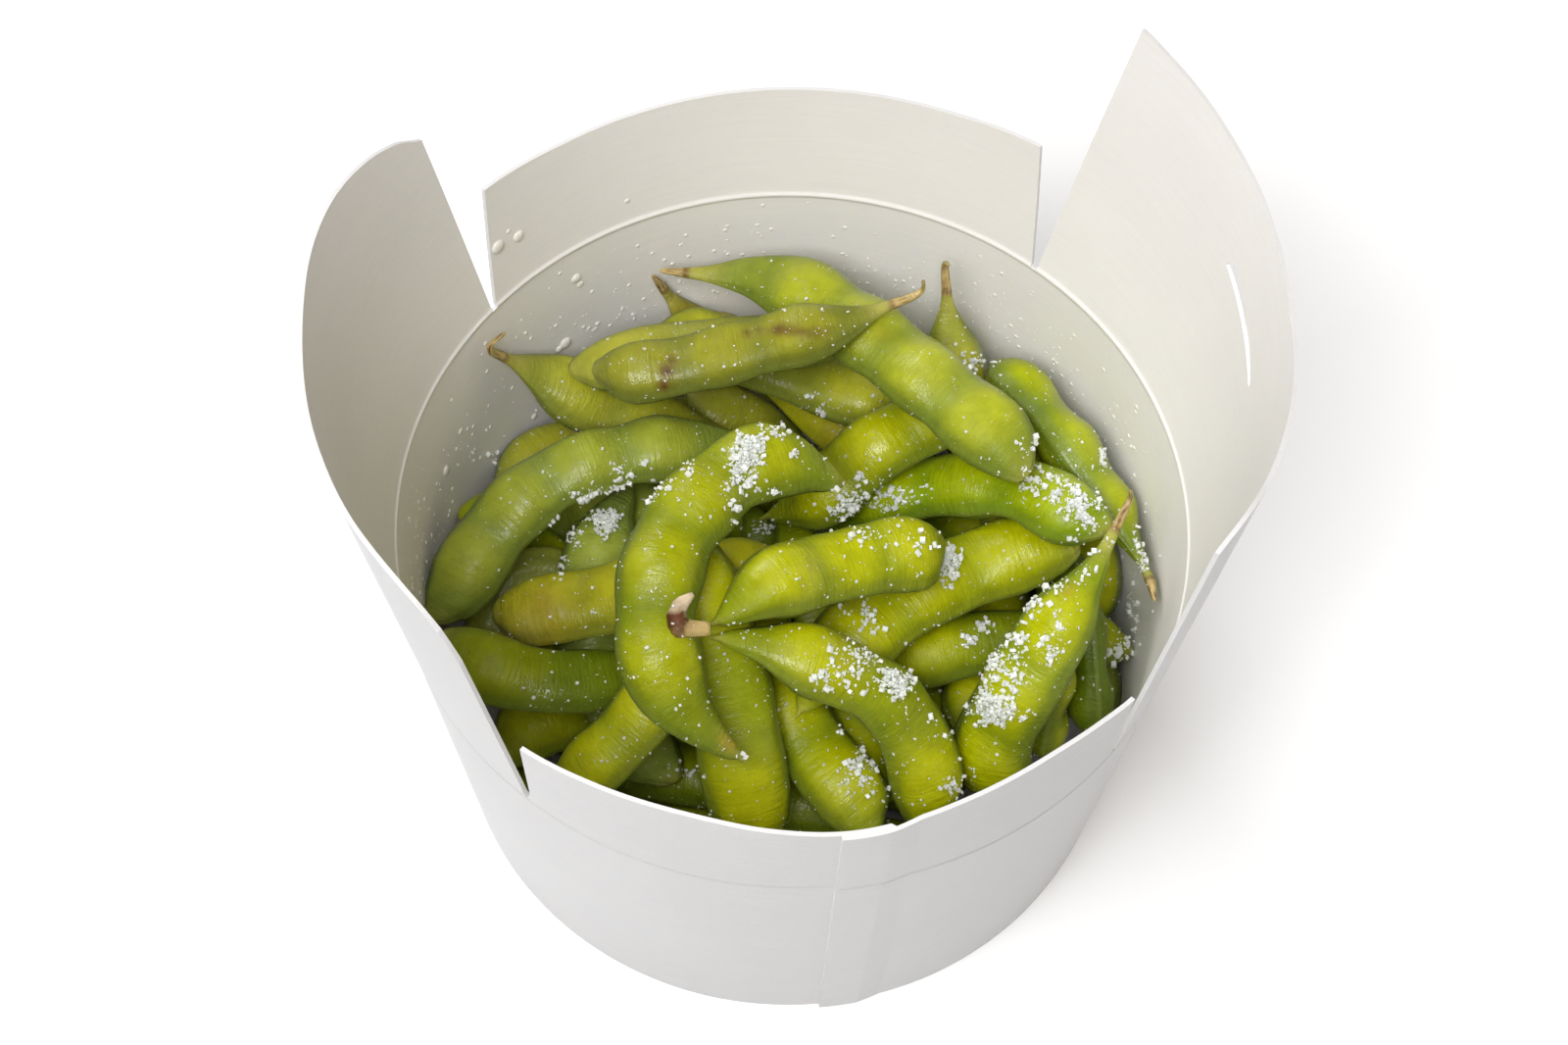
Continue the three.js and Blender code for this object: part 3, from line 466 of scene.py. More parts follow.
BRIGHT = np.array((0.40, 0.415, 0.0005))
SHADED_OLIVE = np.array((0.135, 0.185, 0.006))
SEAM_GREEN_AND_HOLLOW_SHADE = np.array((0.17, 0.20, 0.035))
STRAW = np.array((0.40, 0.37, 0.08))
TAN = np.array((0.50, 0.37, 0.15))
BROWN = np.array((0.10, 0.035, 0.012))
CREAM = np.array((0.66, 0.54, 0.38))
DARK_RED = np.array((0.10, 0.018, 0.012))

# towards which colour a pod departs from the common green, and how far. The deep green is partly a dark
# green and partly painted shade; the straw and bright tints of pod_22, pod_25 and pod_38 are painted
# light, lifting pods that lie in shade.
FRESH = np.array((0.16, 0.34, 0.002))
OCHRE = np.array((0.33, 0.25, 0.02))
GREYED = np.array((0.22, 0.29, 0.07))
DEEP_GREEN_AND_SHADE = np.array((0.065, 0.115, 0.003))
DULL = np.array((0.10, 0.078, 0.036))
pod_tint = {
    "pod_04": (GREYED, 0.5), "pod_17": (GREYED, 0.35), "pod_22": (STRAW, 0.35), "pod_24": (STRAW, 0.35),
    "pod_25": (BRIGHT, 0.15), "pod_26": (GREYED, 0.6), "pod_27": (DEEP_GREEN_AND_SHADE, 0.5), "pod_30": (OCHRE, 0.3),
    "pod_31": (BRIGHT, 0.3), "pod_32": (BRIGHT, 0.15), "pod_34": (DEEP_GREEN_AND_SHADE, 0.14), "pod_35": (DEEP_GREEN_AND_SHADE, 0.8),
    "pod_38": (STRAW, 0.35), "pod_39": (OCHRE, 0.8), "pod_40": (STRAW, 0.25), "pod_41": (STRAW, 0.35),
    "pod_42": (STRAW, 0.45), "pod_43": (FRESH, 0.14), "pod_44": (BRIGHT, 0.1), "pod_45": (FRESH, 0.32),
    "pod_46": (GREYED, 0.22), "pod_47": (STRAW, 0.35), "pod_48": (DULL, 0.42), "pod_49": (GREYED, 0.45),
    "pod_50": (BRIGHT, 0.35), "pod_51": (DEEP_GREEN_AND_SHADE, 0.23), "pod_52": (FRESH, 0.07),
}
slim_necked = {"pod_52": 0.6, "pod_43": 0.68}
dry_ended = {"pod_46", "pod_39", "pod_48", "pod_47", "pod_41", "pod_52", "pod_43", "pod_28"}

# blemishes: where they show in the photograph, how wide they are in millimetres, their colour and depth
pod_marks = {
    "pod_48": [
        (680, 378, 1.1, DARK_RED, 1.0), (677, 393, 0.9, DARK_RED, 1.0), (686, 367, 0.7, DARK_RED, 0.8),
        (762, 340, 0.7, BROWN, 0.8), (776, 337, 0.7, BROWN, 0.7), (790, 337, 0.8, BROWN, 0.8),
        (797, 336, 1.0, BROWN, 0.8), (806, 337, 0.9, BROWN, 0.7), (814, 338, 0.8, BROWN, 0.7),
        (823, 339, 0.8, BROWN, 0.6), (832, 339, 0.9, BROWN, 0.6), (843, 337, 0.8, BROWN, 0.5),
    ],
    "pod_20": [(850, 750, 0.8, DARK_RED, 0.9), (846, 744, 0.5, DARK_RED, 0.7)],
    "pod_51": [(745, 760, 1.3, OCHRE, 0.9), (740, 752, 1.4, OCHRE, 0.4)],
    "pod_30": [
        (545, 636, 6.0, OCHRE, 0.55), (540, 640, 2.6, STRAW, 0.5), (556, 612, 2.0, OCHRE, 0.7),
        (564, 640, 0.8, OCHRE, 0.9), (558, 656, 0.8, OCHRE, 0.9), (561, 625, 0.8, OCHRE, 0.9),
    ],
    "pod_39": [(812, 420, 8.0, BRIGHT, 0.7)],
    "pod_46": [(900, 340, 1.2, OCHRE, 0.3)],
    "pod_28": [(772, 555, 1.4, BROWN, 0.85), (765, 558, 1.0, DARK_RED, 0.7)],
    "pod_42": [(1050, 490, 1.3, OCHRE, 0.5)],
    "pod_52": [(1090, 603, 0.9, OCHRE, 0.8)],
}


def pod_surface(sections, beans, chance, dry, tint, marks=(), neck_size=1.0):
    """Points, faces, colours and lie of one pod's skin, from the sections of its solid."""
    stub_rows = len(sections) - 1 - len(SOLID_SHARES)
    shares = STALK_SHARES[stub_rows]
    narrow = np.linspace(0.34, 0.72, stub_rows) if dry else np.linspace(0.25, 0.6, stub_rows)
    neck_middle = sections[stub_rows][0]
    rows = []
    for i, (middle, wide, thick) in enumerate(sections):
        if i < stub_rows:
            shortened = middle if dry else neck_middle.lerp(middle, 0.4)
            rows.append([*shortened, *(wide * narrow[i]), *(thick * narrow[i])])
        else:
            rows.append([*middle, *wide, *thick])
    outward = (sections[0][0] - sections[1][0]).normalized() * 0.6 * MM
    end, end_wide, end_thick = Vector(rows[0][:3]), Vector(rows[0][3:6]), Vector(rows[0][6:])
    rows.insert(0, [*(end + outward), *(end_wide * 0.25), *(end_thick * 0.25)])
    shares = [shares[0] - 0.008 if shares else 0.0, *shares, *SOLID_SHARES, 1.0]
    at = np.linspace(0, 1, POD_STATIONS)
    at = (at - END_CROWDING * np.sin(2 * math.pi * at)) * (len(rows) - 1)
    values = through(rows, at)
    # f is each station's share of the pod's length: below nought on the stalk and one at the tip
    f = np.interp(at, np.arange(len(shares)), shares)
    slimmed = np.clip((0.52 - f) / 0.32, 0, 1) ** 2 * np.clip(f / 0.06, 0, 1)
    slimmed = 1 - (1 - neck_size) * slimmed[:, None]
    middle, wide, thick = values[:, 0:3], values[:, 3:6] * slimmed, values[:, 6:9] * slimmed

    # the tip closes on an ellipse whose point lies towards one seam, as a short beak
    tip = np.clip((f - TIP_START) / (1 - TIP_START), 0, 1)[:, None]
    full_wide, full_thick = np.array(rows[-4][3:6]), np.array(rows[-4][6:9])
    close = np.sqrt(np.clip(1 - tip**2.4, 0, 1)) * (1 - 0.12 * tip)
    wide = np.where(tip > 0, full_wide * close, wide)
    thick = np.where(tip > 0, full_thick * close, thick)
    ahead = middle[-1] - middle[-12]
    ahead /= np.linalg.norm(ahead)
    side = chance.choice((-1, 1))
    middle = middle + tip**3 * full_wide * 0.3 * side + tip**14 * ahead * 0.9 * MM

    spacing = (LAST_BEAN - FIRST_BEAN) / max(beans - 1, 1)
    centres = [FIRST_BEAN + spacing * i + chance.uniform(-0.012, 0.012) for i in range(beans)]
    swell = np.zeros_like(f)
    for centre in centres:
        swell = np.maximum(swell, np.exp(-np.abs((f - centre) / (0.40 * min(spacing, 0.3))) ** 3))
    body = np.clip((f - 0.03) / 0.12, 0, 1)
    reach = np.concatenate([[0], np.cumsum(np.linalg.norm(np.diff(middle, axis=0), axis=1))]) / MM
    seeds = [chance.uniform(0, 100) for _ in range(3)]
    points, colours, lie = [], [], []
    colour, share = tint
    for i in range(POD_STATIONS):
        half_wide = max(np.linalg.norm(wide[i]) / MM, 0.6)
        for k in range(POD_SIDES):
            phi = 2 * math.pi * k / POD_SIDES
            c, s = math.cos(phi), math.sin(phi)
            from_seam = math.asin(min(abs(s), 1))
            ridge = math.exp(-((from_seam / SEAM_WIDTH) ** 2))
            hollow = math.exp(-((from_seam - HOLLOW_PLACE) / HOLLOW_WIDTH) ** 2)
            face = abs(s) ** 1.3
            broad = noise.noise(Vector((reach[i] * 0.16 + seeds[0], c * 1.5, s * 1.5 + seeds[1])))
            fine = noise.noise(Vector((reach[i] * 0.75 + seeds[2], c * 2.2, s * 2.2)))
            thickness = 1 + body[i] * (
                0.05 * swell[i] * face - 0.115 * (1 - swell[i]) * face + 0.04 * broad + 0.018 * fine
            )
            width = 1 + body[i] * (0.28 * ridge - 0.22 * hollow + 0.15 * broad) / half_wide
            width -= 0.035 * (1 - swell[i]) * body[i]
            points.append(Vector(middle[i] + wide[i] * c * width + thick[i] * s * thickness))
            lie.append((reach[i] * MM, c * half_wide * MM, s * half_wide * MM))

            # painted light and shade: bright yellow-green over the bean bulges on the broad faces, dark
            # olive in the pinches between the beans and towards the seams, with a little random tone
            glow = min(1.0, max(0.0, (0.3 + 0.75 * swell[i]) * (0.05 + 1.05 * face) + 0.12 * broad))
            glow *= glow * (3 - 2 * glow) * 0.4 + 0.6
            green = SHADED_OLIVE + (BRIGHT - SHADED_OLIVE) * glow
            green = green + (colour - green) * share
            # the seam's own darker green along its ridge, and painted shade in the hollow beside it
            green = green + (SEAM_GREEN_AND_HOLLOW_SHADE - green) * (0.7 * ridge + 0.25 * hollow) * body[i]
            if dry:
                neck = math.exp(-((max(f[i] - 0.02, 0) / 0.06) ** 2)) * 0.75
                green = green + (STRAW - green) * neck
                dryness = float(np.clip((0.012 - f[i]) / 0.02, 0, 1))
                husk = TAN + (BROWN - TAN) * min(1.0, max(0.0, 0.25 + 1.1 * fine + 0.6 * broad))
                husk = husk + (BROWN - husk) * math.exp(-(((f[i] + 0.004) / 0.007) ** 2))
                green = green + (husk - green) * dryness
            else:
                green = green + (STRAW - green) * math.exp(-((max(f[i] + 0.04, 0) / 0.06) ** 2)) * 0.5
            green = green + (STRAW - green) * 0.7 * float(tip[i, 0]) ** 10
            for x, y, radius, mark, depth in marks:
                ray = line_of_sight(x, y)
                away = (points[-1] - CAMERA_PLACE).cross(ray).length / MM
                if away < 2.5 * radius:
                    green = green + (mark - green) * depth * math.exp(-((away / radius) ** 2))
            colours.append((*np.clip(green, 0, 1), 1))
    faces = []
    for i in range(POD_STATIONS - 1):
        for k in range(POD_SIDES):
            a, b = i * POD_SIDES + k, i * POD_SIDES + (k + 1) % POD_SIDES
            faces.append((a, b, b + POD_SIDES, a + POD_SIDES))
    faces.append(tuple(range(POD_SIDES))[::-1])
    return points, faces, colours, lie


def pod_skin_finish(name, roughness):
    """Moist pod skin: the painted greens, a painted sheen of down that greys them where the skin turns
    away, and fine puckers.
    """
    material = bpy.data.materials.new(name)
    material.use_nodes = True
    nodes, links = material.node_tree.nodes, material.node_tree.links
    shader = nodes["Principled BSDF"]
    shader.inputs["Subsurface Weight"].default_value = 0.2
    shader.inputs["Subsurface Radius"].default_value = (0.0022, 0.0024, 0.0004)
    shader.inputs["Subsurface Scale"].default_value = 1.0
    shader.inputs["Specular IOR Level"].default_value = 0.14
    shader.inputs["Coat Roughness"].default_value = 0.13
    painted = nodes.new("ShaderNodeVertexColor")
    painted.layer_name = "skin"
    place = nodes.new("ShaderNodeTexCoord")

    mottle = nodes.new("ShaderNodeTexNoise")
    mottle.inputs["Scale"].default_value = 330
    mottle.inputs["Detail"].default_value = 6
    mottle.inputs["Roughness"].default_value = 0.62
    links.new(place.outputs["Object"], mottle.inputs["Vector"])
    levels = nodes.new("ShaderNodeMapRange")
    levels.inputs["From Min"].default_value = 0.32
    levels.inputs["From Max"].default_value = 0.68
    levels.inputs["To Min"].default_value = 0.84
    levels.inputs["To Max"].default_value = 1.08
    links.new(mottle.outputs["Fac"], levels.inputs["Value"])
    mottled = nodes.new("ShaderNodeMix")
    mottled.data_type = "RGBA"
    mottled.blend_type = "MULTIPLY"
    mottled.inputs["Factor"].default_value = 1.0
    links.new(painted.outputs["Color"], mottled.inputs[6])
    links.new(levels.outputs["Result"], mottled.inputs[7])

    # painted sheen: the greens turn greyer and darker where the skin turns from view, standing in for the
    # grey sheen of the down
    turning = nodes.new("ShaderNodeLayerWeight")
    turning.inputs["Blend"].default_value = 0.38
    painted_sheen_share = nodes.new("ShaderNodeMapRange")
    painted_sheen_share.inputs["From Min"].default_value = 0.38
    painted_sheen_share.inputs["From Max"].default_value = 0.95
    painted_sheen_share.inputs["To Max"].default_value = 0.65
    links.new(turning.outputs["Facing"], painted_sheen_share.inputs["Value"])
    painted_down_sheen = nodes.new("ShaderNodeMix")
    painted_down_sheen.data_type = "RGBA"
    painted_down_sheen.inputs[7].default_value = (0.15, 0.19, 0.04, 1)
    links.new(painted_sheen_share.outputs["Result"], painted_down_sheen.inputs["Factor"])
    links.new(mottled.outputs[2], painted_down_sheen.inputs[6])
    links.new(painted_down_sheen.outputs[2], shader.inputs["Base Color"])

    lie = nodes.new("ShaderNodeAttribute")
    lie.attribute_name = "lie"
    across = nodes.new("ShaderNodeMapping")
    across.inputs["Scale"].default_value = (1500, 170, 170)
    links.new(lie.outputs["Vector"], across.inputs["Vector"])
    puckers = nodes.new("ShaderNodeTexNoise")
    puckers.inputs["Scale"].default_value = 1.0
    puckers.inputs["Detail"].default_value = 3
    puckers.inputs["Distortion"].default_value = 0.4
    links.new(across.outputs["Vector"], puckers.inputs["Vector"])
    grain = nodes.new("ShaderNodeTexNoise")
    grain.inputs["Scale"].default_value = 2300
    grain.inputs["Detail"].default_value = 2
    links.new(place.outputs["Object"], grain.inputs["Vector"])
    relief = nodes.new("ShaderNodeMath")
    relief.operation = "MULTIPLY_ADD"
    relief.inputs[1].default_value = 0.45
    links.new(grain.outputs["Fac"], relief.inputs[0])
    links.new(puckers.outputs["Fac"], relief.inputs[2])
    bump = nodes.new("ShaderNodeBump")
    bump.inputs["Strength"].default_value = 0.58
    bump.inputs["Distance"].default_value = 0.00036
    links.new(relief.outputs[0], bump.inputs["Height"])
    links.new(bump.outputs["Normal"], shader.inputs["Normal"])
    links.new(bump.outputs["Normal"], shader.inputs["Coat Normal"])

    patches = nodes.new("ShaderNodeTexNoise")
    patches.inputs["Scale"].default_value = 75
    patches.inputs["Detail"].default_value = 3
    links.new(place.outputs["Object"], patches.inputs["Vector"])
    film = nodes.new("ShaderNodeMapRange")
    film.inputs["From Min"].default_value = 0.42
    film.inputs["From Max"].default_value = 0.62
    film.inputs["To Min"].default_value = 0.02
    film.inputs["To Max"].default_value = 0.66
    links.new(patches.outputs["Fac"], film.inputs["Value"])
    links.new(film.outputs["Result"], shader.inputs["Coat Weight"])

    wetness = nodes.new("ShaderNodeMapRange")
    wetness.inputs["From Min"].default_value = 0.35
    wetness.inputs["From Max"].default_value = 0.65
    wetness.inputs["To Min"].default_value = roughness - 0.1
    wetness.inputs["To Max"].default_value = roughness + 0.1
    links.new(mottle.outputs["Fac"], wetness.inputs["Value"])
    links.new(wetness.outputs["Result"], shader.inputs["Roughness"])
    return material


def pod_piece(name, surfaces, finish, slot, *solids):
    """One pod, or two on one stalk, as a smooth mesh with its colours."""
    points, faces, colours, lies = [], [], [], []
    for more_points, more_faces, more_colours, more_lies in surfaces:
        faces += [tuple(v + len(points) for v in face) for face in more_faces]
        points += more_points
        colours += more_colours
        lies += more_lies
    mesh = bpy.data.meshes.new(name)
    mesh.from_pydata([tuple(p) for p in points], [], faces)
    mesh.polygons.foreach_set("use_smooth", [True] * len(faces))
    skin = mesh.color_attributes.new("skin", "FLOAT_COLOR", "POINT")
    skin.data.foreach_set("color", np.array(colours, np.float32).ravel())
    lie = mesh.attributes.new("lie", "FLOAT_VECTOR", "POINT")
    lie.data.foreach_set("vector", np.array(lies, np.float32).ravel())
    mesh.materials.append(finish)
    shape = bmesh.new()
    shape.from_mesh(mesh)
    bmesh.ops.recalc_face_normals(shape, faces=shape.faces)
    shape.to_mesh(mesh)
    shape.free()
    piece = bpy.data.objects.new(name, mesh)
    bpy.context.scene.collection.objects.link(piece)
    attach(piece, "root")
    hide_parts(*solids)
    return piece


green_skin = pod_skin_finish("pod_skin_green", 0.42)
ripe_skin = pod_skin_finish("pod_skin_ripe", 0.5)

LOW_PODS_IN_PAINTED_SHADE = 16
RIPE_POD = "pod_39"

pods = []
for number, beans in enumerate(BEANS, start=1):
    solid_name = f"pod_{number:02d}"
    chance = random.Random(number)
    sections = pod_sections(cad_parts[solid_name])[0]
    # the first sixteen pods lie low in the heap; unless they have a tint of their own, they are painted
    # darker towards the deep green, as painted shade
    if number <= LOW_PODS_IN_PAINTED_SHADE:
        common = (DEEP_GREEN_AND_SHADE, chance.uniform(0.45, 0.65))
    else:
        common = (chance.choice((GREYED, FRESH, FRESH)), chance.uniform(0, 0.15))
    tint = pod_tint.get(solid_name, common)
    surface = pod_surface(
        sections, int(beans), chance, solid_name in dry_ended, tint,
        pod_marks.get(solid_name, ()), slim_necked.get(solid_name, 1.0),
    )
    ripe = solid_name == RIPE_POD
    pods.append(
        pod_piece(
            f"edamame_{number:02d}", [surface], ripe_skin if ripe else green_skin,
            "pod_ripe" if ripe else "pod_green", solid_name,
        )
    )


# Twin pods. Two pods that grow from one short stalk, which was torn off the plant: its end is dry,
# brown and frayed, with pale fibre at the break, and it lies over the pod beside it.
TORN_RINGS, TORN_SIDES = 15, 14
TWIN_BEANS, TWIN_ROWS, TWIN_NECK_HALF = (2, 3), 13, 1.1

# where the photograph shows the torn stalk, from the pods to its break, and the paler neck beside it
TORN_STALK_SEEN = [(702, 641), (695, 640), (691, 630), (694, 617), (701, 606)]
TWIN_MARKS = [(705, 641, 2.0, STRAW, 0.5), (700, 640, 1.0, TAN, 0.6)]


def hermite(a, b, way_a, way_b, t):
    """A point on a smooth curve from a to b that sets off along way_a and comes in along way_b."""
    return (
        a * (2 * t**3 - 3 * t**2 + 1) + way_a * (t**3 - 2 * t**2 + t)
        + b * (3 * t**2 - 2 * t**3) + way_b * (t**3 - t**2)
    )


twins_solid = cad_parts["pod_twins"]
stalk_end = min((v.co.copy() for v in twins_solid.data.vertices), key=lambda p: p.x)
twin_surfaces = []
for which, sections in enumerate(pod_sections(twins_solid)):
    kept = sections[-TWIN_ROWS:]
    middle, wide, thick = kept[0]
    way_in = kept[1][0] - kept[0][0]
    missing = TWIN_ROWS + 2 - len(kept)
    added = []
    start = stalk_end + Vector((0.6, 0, -0.4)) * MM
    for i in range(missing):
        t = i / missing
        span = middle - start
        p = hermite(start, middle, span * 0.8, way_in.normalized() * span.length * 0.8, t)
        half_wide = wide.normalized() * max(wide.length * (0.2 + 0.8 * t * t), TWIN_NECK_HALF * MM)
        half_thick = thick.normalized() * max(thick.length * (0.2 + 0.8 * t * t), TWIN_NECK_HALF * MM)
        added.append((p, half_wide, half_thick))
    surface = pod_surface(
        added + kept, TWIN_BEANS[which], random.Random(90 + which), False, (BRIGHT, 0.12), TWIN_MARKS
    )
    twin_surfaces.append(surface)
crossed = bpy.data.objects["edamame_51"].data
crossed_tree = BVHTree.FromPolygons(
    [v.co.copy() for v in crossed.vertices], [list(p.vertices) for p in crossed.polygons]
)
torn_path = np.array([
    crossed_tree.ray_cast(CAMERA_PLACE, line_of_sight(x, y))[0] for x, y in TORN_STALK_SEEN
])
torn_path = np.vstack([np.array(camera_right * 3.4 * MM) + torn_path[0], torn_path])
torn_path[-1] += np.array(camera_right * 1.0 * MM)
torn_line = through(torn_path, np.linspace(0, len(torn_path) - 1, TORN_RINGS))
torn_points, torn_faces, torn_colours, torn_lie = [], [], [], []
torn_seed = random.Random(5)
for i in range(TORN_RINGS):
    t = i / (TORN_RINGS - 1)
    half = (1.0 + 0.75 * math.sin(2.6 * t) - 1.0 * t**4) * MM
    ahead = Vector(torn_line[min(i + 1, TORN_RINGS - 1)] - torn_line[max(i - 1, 0)]).normalized()
    side = ahead.cross(CAMERA_FORWARD).normalized()
    for k in range(TORN_SIDES):
        phi = 2 * math.pi * k / TORN_SIDES
        rough = 1 + torn_seed.uniform(-0.16, 0.16)
        out = side * math.cos(phi) * half * rough - CAMERA_FORWARD * math.sin(phi) * half * 0.7 * rough
        torn_points.append(Vector(torn_line[i]) + out - CAMERA_FORWARD * 0.9 * MM)
        torn_lie.append((t * 0.006, math.cos(phi) * half, math.sin(phi) * half))
        dried = min(1, max(0, 2.6 * (abs(t - 0.55) - 0.1) + torn_seed.uniform(-0.25, 0.25)))
        frayed = min(0.85, max(0, (t - 0.62) * 5 + torn_seed.uniform(-0.5, 0.3)))
        shade = BROWN + (TAN - BROWN) * dried
        shade = shade + (CREAM - shade) * frayed
        torn_colours.append((*np.clip(shade * torn_seed.uniform(0.8, 1.1), 0, 1), 1))
for i in range(TORN_RINGS - 1):
    for k in range(TORN_SIDES):
        a, b = i * TORN_SIDES + k, i * TORN_SIDES + (k + 1) % TORN_SIDES
        torn_faces.append((a, b, b + TORN_SIDES, a + TORN_SIDES))
last_ring = (TORN_RINGS - 1) * TORN_SIDES
torn_faces += [tuple(range(TORN_SIDES))[::-1], tuple(last_ring + k for k in range(TORN_SIDES))]
twin_surfaces.append((torn_points, torn_faces, torn_colours, torn_lie))
pods.append(pod_piece("edamame_twins", twin_surfaces, green_skin, "pod_green", "pod_twins"))


# Salt. Coarse, glassy white crystals, strewn over the pods from above: five clumps, smaller heaps
# between them and loose grains everywhere, as far as the wall. Crystals' sizes are in millimetres.
salt_finish = bpy.data.materials.new("salt_crystal")
salt_finish.use_nodes = True
salt_shader = salt_finish.node_tree.nodes["Principled BSDF"]
salt_nodes, salt_links = salt_finish.node_tree.nodes, salt_finish.node_tree.links
frost = salt_nodes.new("ShaderNodeTexNoise")
frost.inputs["Scale"].default_value = 900
salt_place = salt_nodes.new("ShaderNodeTexCoord")
salt_links.new(salt_place.outputs["Object"], frost.inputs["Vector"])
frost_tone = salt_nodes.new("ShaderNodeValToRGB")
frost_tone.color_ramp.elements[0].color = (0.80, 0.85, 0.76, 1)
frost_tone.color_ramp.elements[1].color = (0.95, 0.98, 0.92, 1)
salt_links.new(frost.outputs["Fac"], frost_tone.inputs["Fac"])
salt_links.new(frost_tone.outputs["Color"], salt_shader.inputs["Base Color"])
salt_shader.inputs["Roughness"].default_value = 0.3
salt_shader.inputs["IOR"].default_value = 1.54
salt_shader.inputs["Transmission Weight"].default_value = 0.08
salt_shader.inputs["Subsurface Weight"].default_value = 0.6
# a faint painted glow, so that the crystals read whiter
salt_shader.inputs["Emission Color"].default_value = (0.95, 1.0, 0.92, 1)
salt_shader.inputs["Emission Strength"].default_value = 0.02
salt_shader.inputs["Subsurface Radius"].default_value = (0.0012, 0.0013, 0.0011)
salt_shader.inputs["Subsurface Scale"].default_value = 1.0

CLUMP_CRYSTALS, CLUMP_SIZES, CLUMP_REACH = 400, (0.25, 0.3, 0.4, 0.5, 0.6, 0.75), 5.5
CRYSTAL_CORNERS = [
    (-1, -1, -1), (1, -1, -1), (1, 1, -1), (-1, 1, -1), (-1, -1, 1), (1, -1, 1), (1, 1, 1), (-1, 1, 1)
]
CRYSTAL_SIDES = [(0, 3, 2, 1), (4, 5, 6, 7), (0, 1, 5, 4), (1, 2, 6, 5), (2, 3, 7, 6), (3, 0, 4, 7)]


def crystal(points, faces, place, size, chance):
    """Adds one broken cube of salt."""
    turn = Matrix.Rotation(chance.uniform(0, 6.3), 3, Vector([chance.gauss(0, 1) for _ in range(3)]))
    stretch = [chance.uniform(0.35, 1.25) * size / 2 for _ in range(3)]
    start = len(points)
    for corner in CRYSTAL_CORNERS:
        p = Vector([c * s * chance.uniform(0.7, 1.05) for c, s in zip(corner, stretch)])
        points.append(place + turn @ p)
    faces += [tuple(start + v for v in side) for side in CRYSTAL_SIDES]


def salt_piece(name, points, faces, *solids):
    """A piece made of many crystals, which may stand for a solid."""
    mesh = bpy.data.meshes.new(name)
    mesh.from_pydata([tuple(p) for p in points], [], faces)
    mesh.materials.append(salt_finish)
    piece = bpy.data.objects.new(name, mesh)
    bpy.context.scene.collection.objects.link(piece)
    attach(piece, "root")
    if solids:
        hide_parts(*solids)
    return piece


for number in range(1, 6):
    chance = random.Random(200 + number)
    spots = [v.co.copy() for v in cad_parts[f"salt_{number:02d}"].data.vertices]
    middle = sum(spots, Vector()) / len(spots)
    points, faces = [], []
    for _ in range(CLUMP_CRYSTALS):
        a, b, c = chance.choice(spots), chance.choice(spots), chance.choice(spots)
        place = middle.lerp(a.lerp(b, chance.random() * 0.5).lerp(c, chance.random() * 0.3), 0.98)
        ragged = noise.noise(place * 420) + 0.5 * noise.noise(place * 1100)
        if ragged > (place - middle).length / (CLUMP_REACH * MM) - 0.55:
            crystal(points, faces, place, chance.choice(CLUMP_SIZES) * MM, chance)
    salt_piece(f"salt_clump_{number:02d}", points, faces, f"salt_{number:02d}")

pile_points, pile_faces = [], []
for piece in pods:
    pile_faces += [[v + len(pile_points) for v in p.vertices] for p in piece.data.polygons]
    pile_points += [v.co.copy() for v in piece.data.vertices]
pile = BVHTree.FromPolygons(pile_points, pile_faces)
wall_tree = BVHTree.FromPolygons(
    [v.co.copy() for v in wall_mesh.vertices], [list(p.vertices) for p in wall_mesh.polygons]
)

# heaps: their middle, half width, half height and tilt in the photograph, and how many grains
SALT_HEAPS = [
    (636, 500, 26, 17, -10, 264), (572, 548, 17, 24, 20, 208), (755, 486, 11, 24, 10, 152),
    (690, 474, 18, 11, 30, 48), (815, 424, 30, 12, -25, 120), (868, 518, 30, 18, -25, 208),
    (915, 508, 20, 12, -10, 72), (779, 541, 8, 7, 0, 32), (1070, 490, 26, 10, 35, 88),
    (1105, 520, 30, 14, 40, 208), (1068, 596, 34, 15, -35, 256), (1018, 690, 36, 27, -30, 416),
    (990, 722, 16, 28, 20, 136), (1076, 656, 6, 18, 10, 56), (1158, 578, 8, 26, 8, 120),
    (868, 672, 18, 22, 20, 176), (930, 676, 15, 18, 20, 120), (882, 632, 15, 12, 0, 72),
    (870, 782, 14, 18, 0, 88), (888, 800, 16, 14, 0, 48), (985, 796, 7, 9, 0, 32),
    (990, 652, 10, 7, 0, 32), (1008, 640, 8, 5, 0, 24), (700, 790, 10, 6, 0, 20),
    (1060, 455, 12, 9, 0, 48), (1000, 366, 14, 8, 20, 48), (930, 560, 40, 22, 0, 48),
    (970, 800, 8, 20, 0, 36), (810, 465, 5, 4, 0, 11), (790, 502, 6, 5, 0, 11),
    (583, 506, 6, 4, 0, 9), (1055, 500, 14, 10, 0, 48), (1120, 470, 10, 12, 0, 32),
    (760, 770, 10, 6, 0, 20), (500, 455, 20, 30, 30, 17), (1046, 613, 9, 6, -10, 72),
    (1149, 648, 7, 30, 10, 120),
]
LUMPS_PER_HEAP, HEAP_SIZES, HEAP_FALL = 30, (0.2, 0.25, 0.3, 0.4, 0.5, 0.65, 0.9), 5.5
BESIDE_HEAP = (-9, 0, 9)

# loose grains, over an oval of the photograph that takes in the carton's mouth
LOOSE_GRAINS, LOOSE_SIZES = 2000, (0.13, 0.16, 0.2, 0.25, 0.32, 0.45)
MOUTH_MIDDLE, MOUTH_HALF = (835, 560), (350, 300)
LOWEST_GRAIN, WALL_GRAIN_LIMIT = 12 * MM, 61 * MM
chance = random.Random(77)
grain_points, grain_faces = [], []


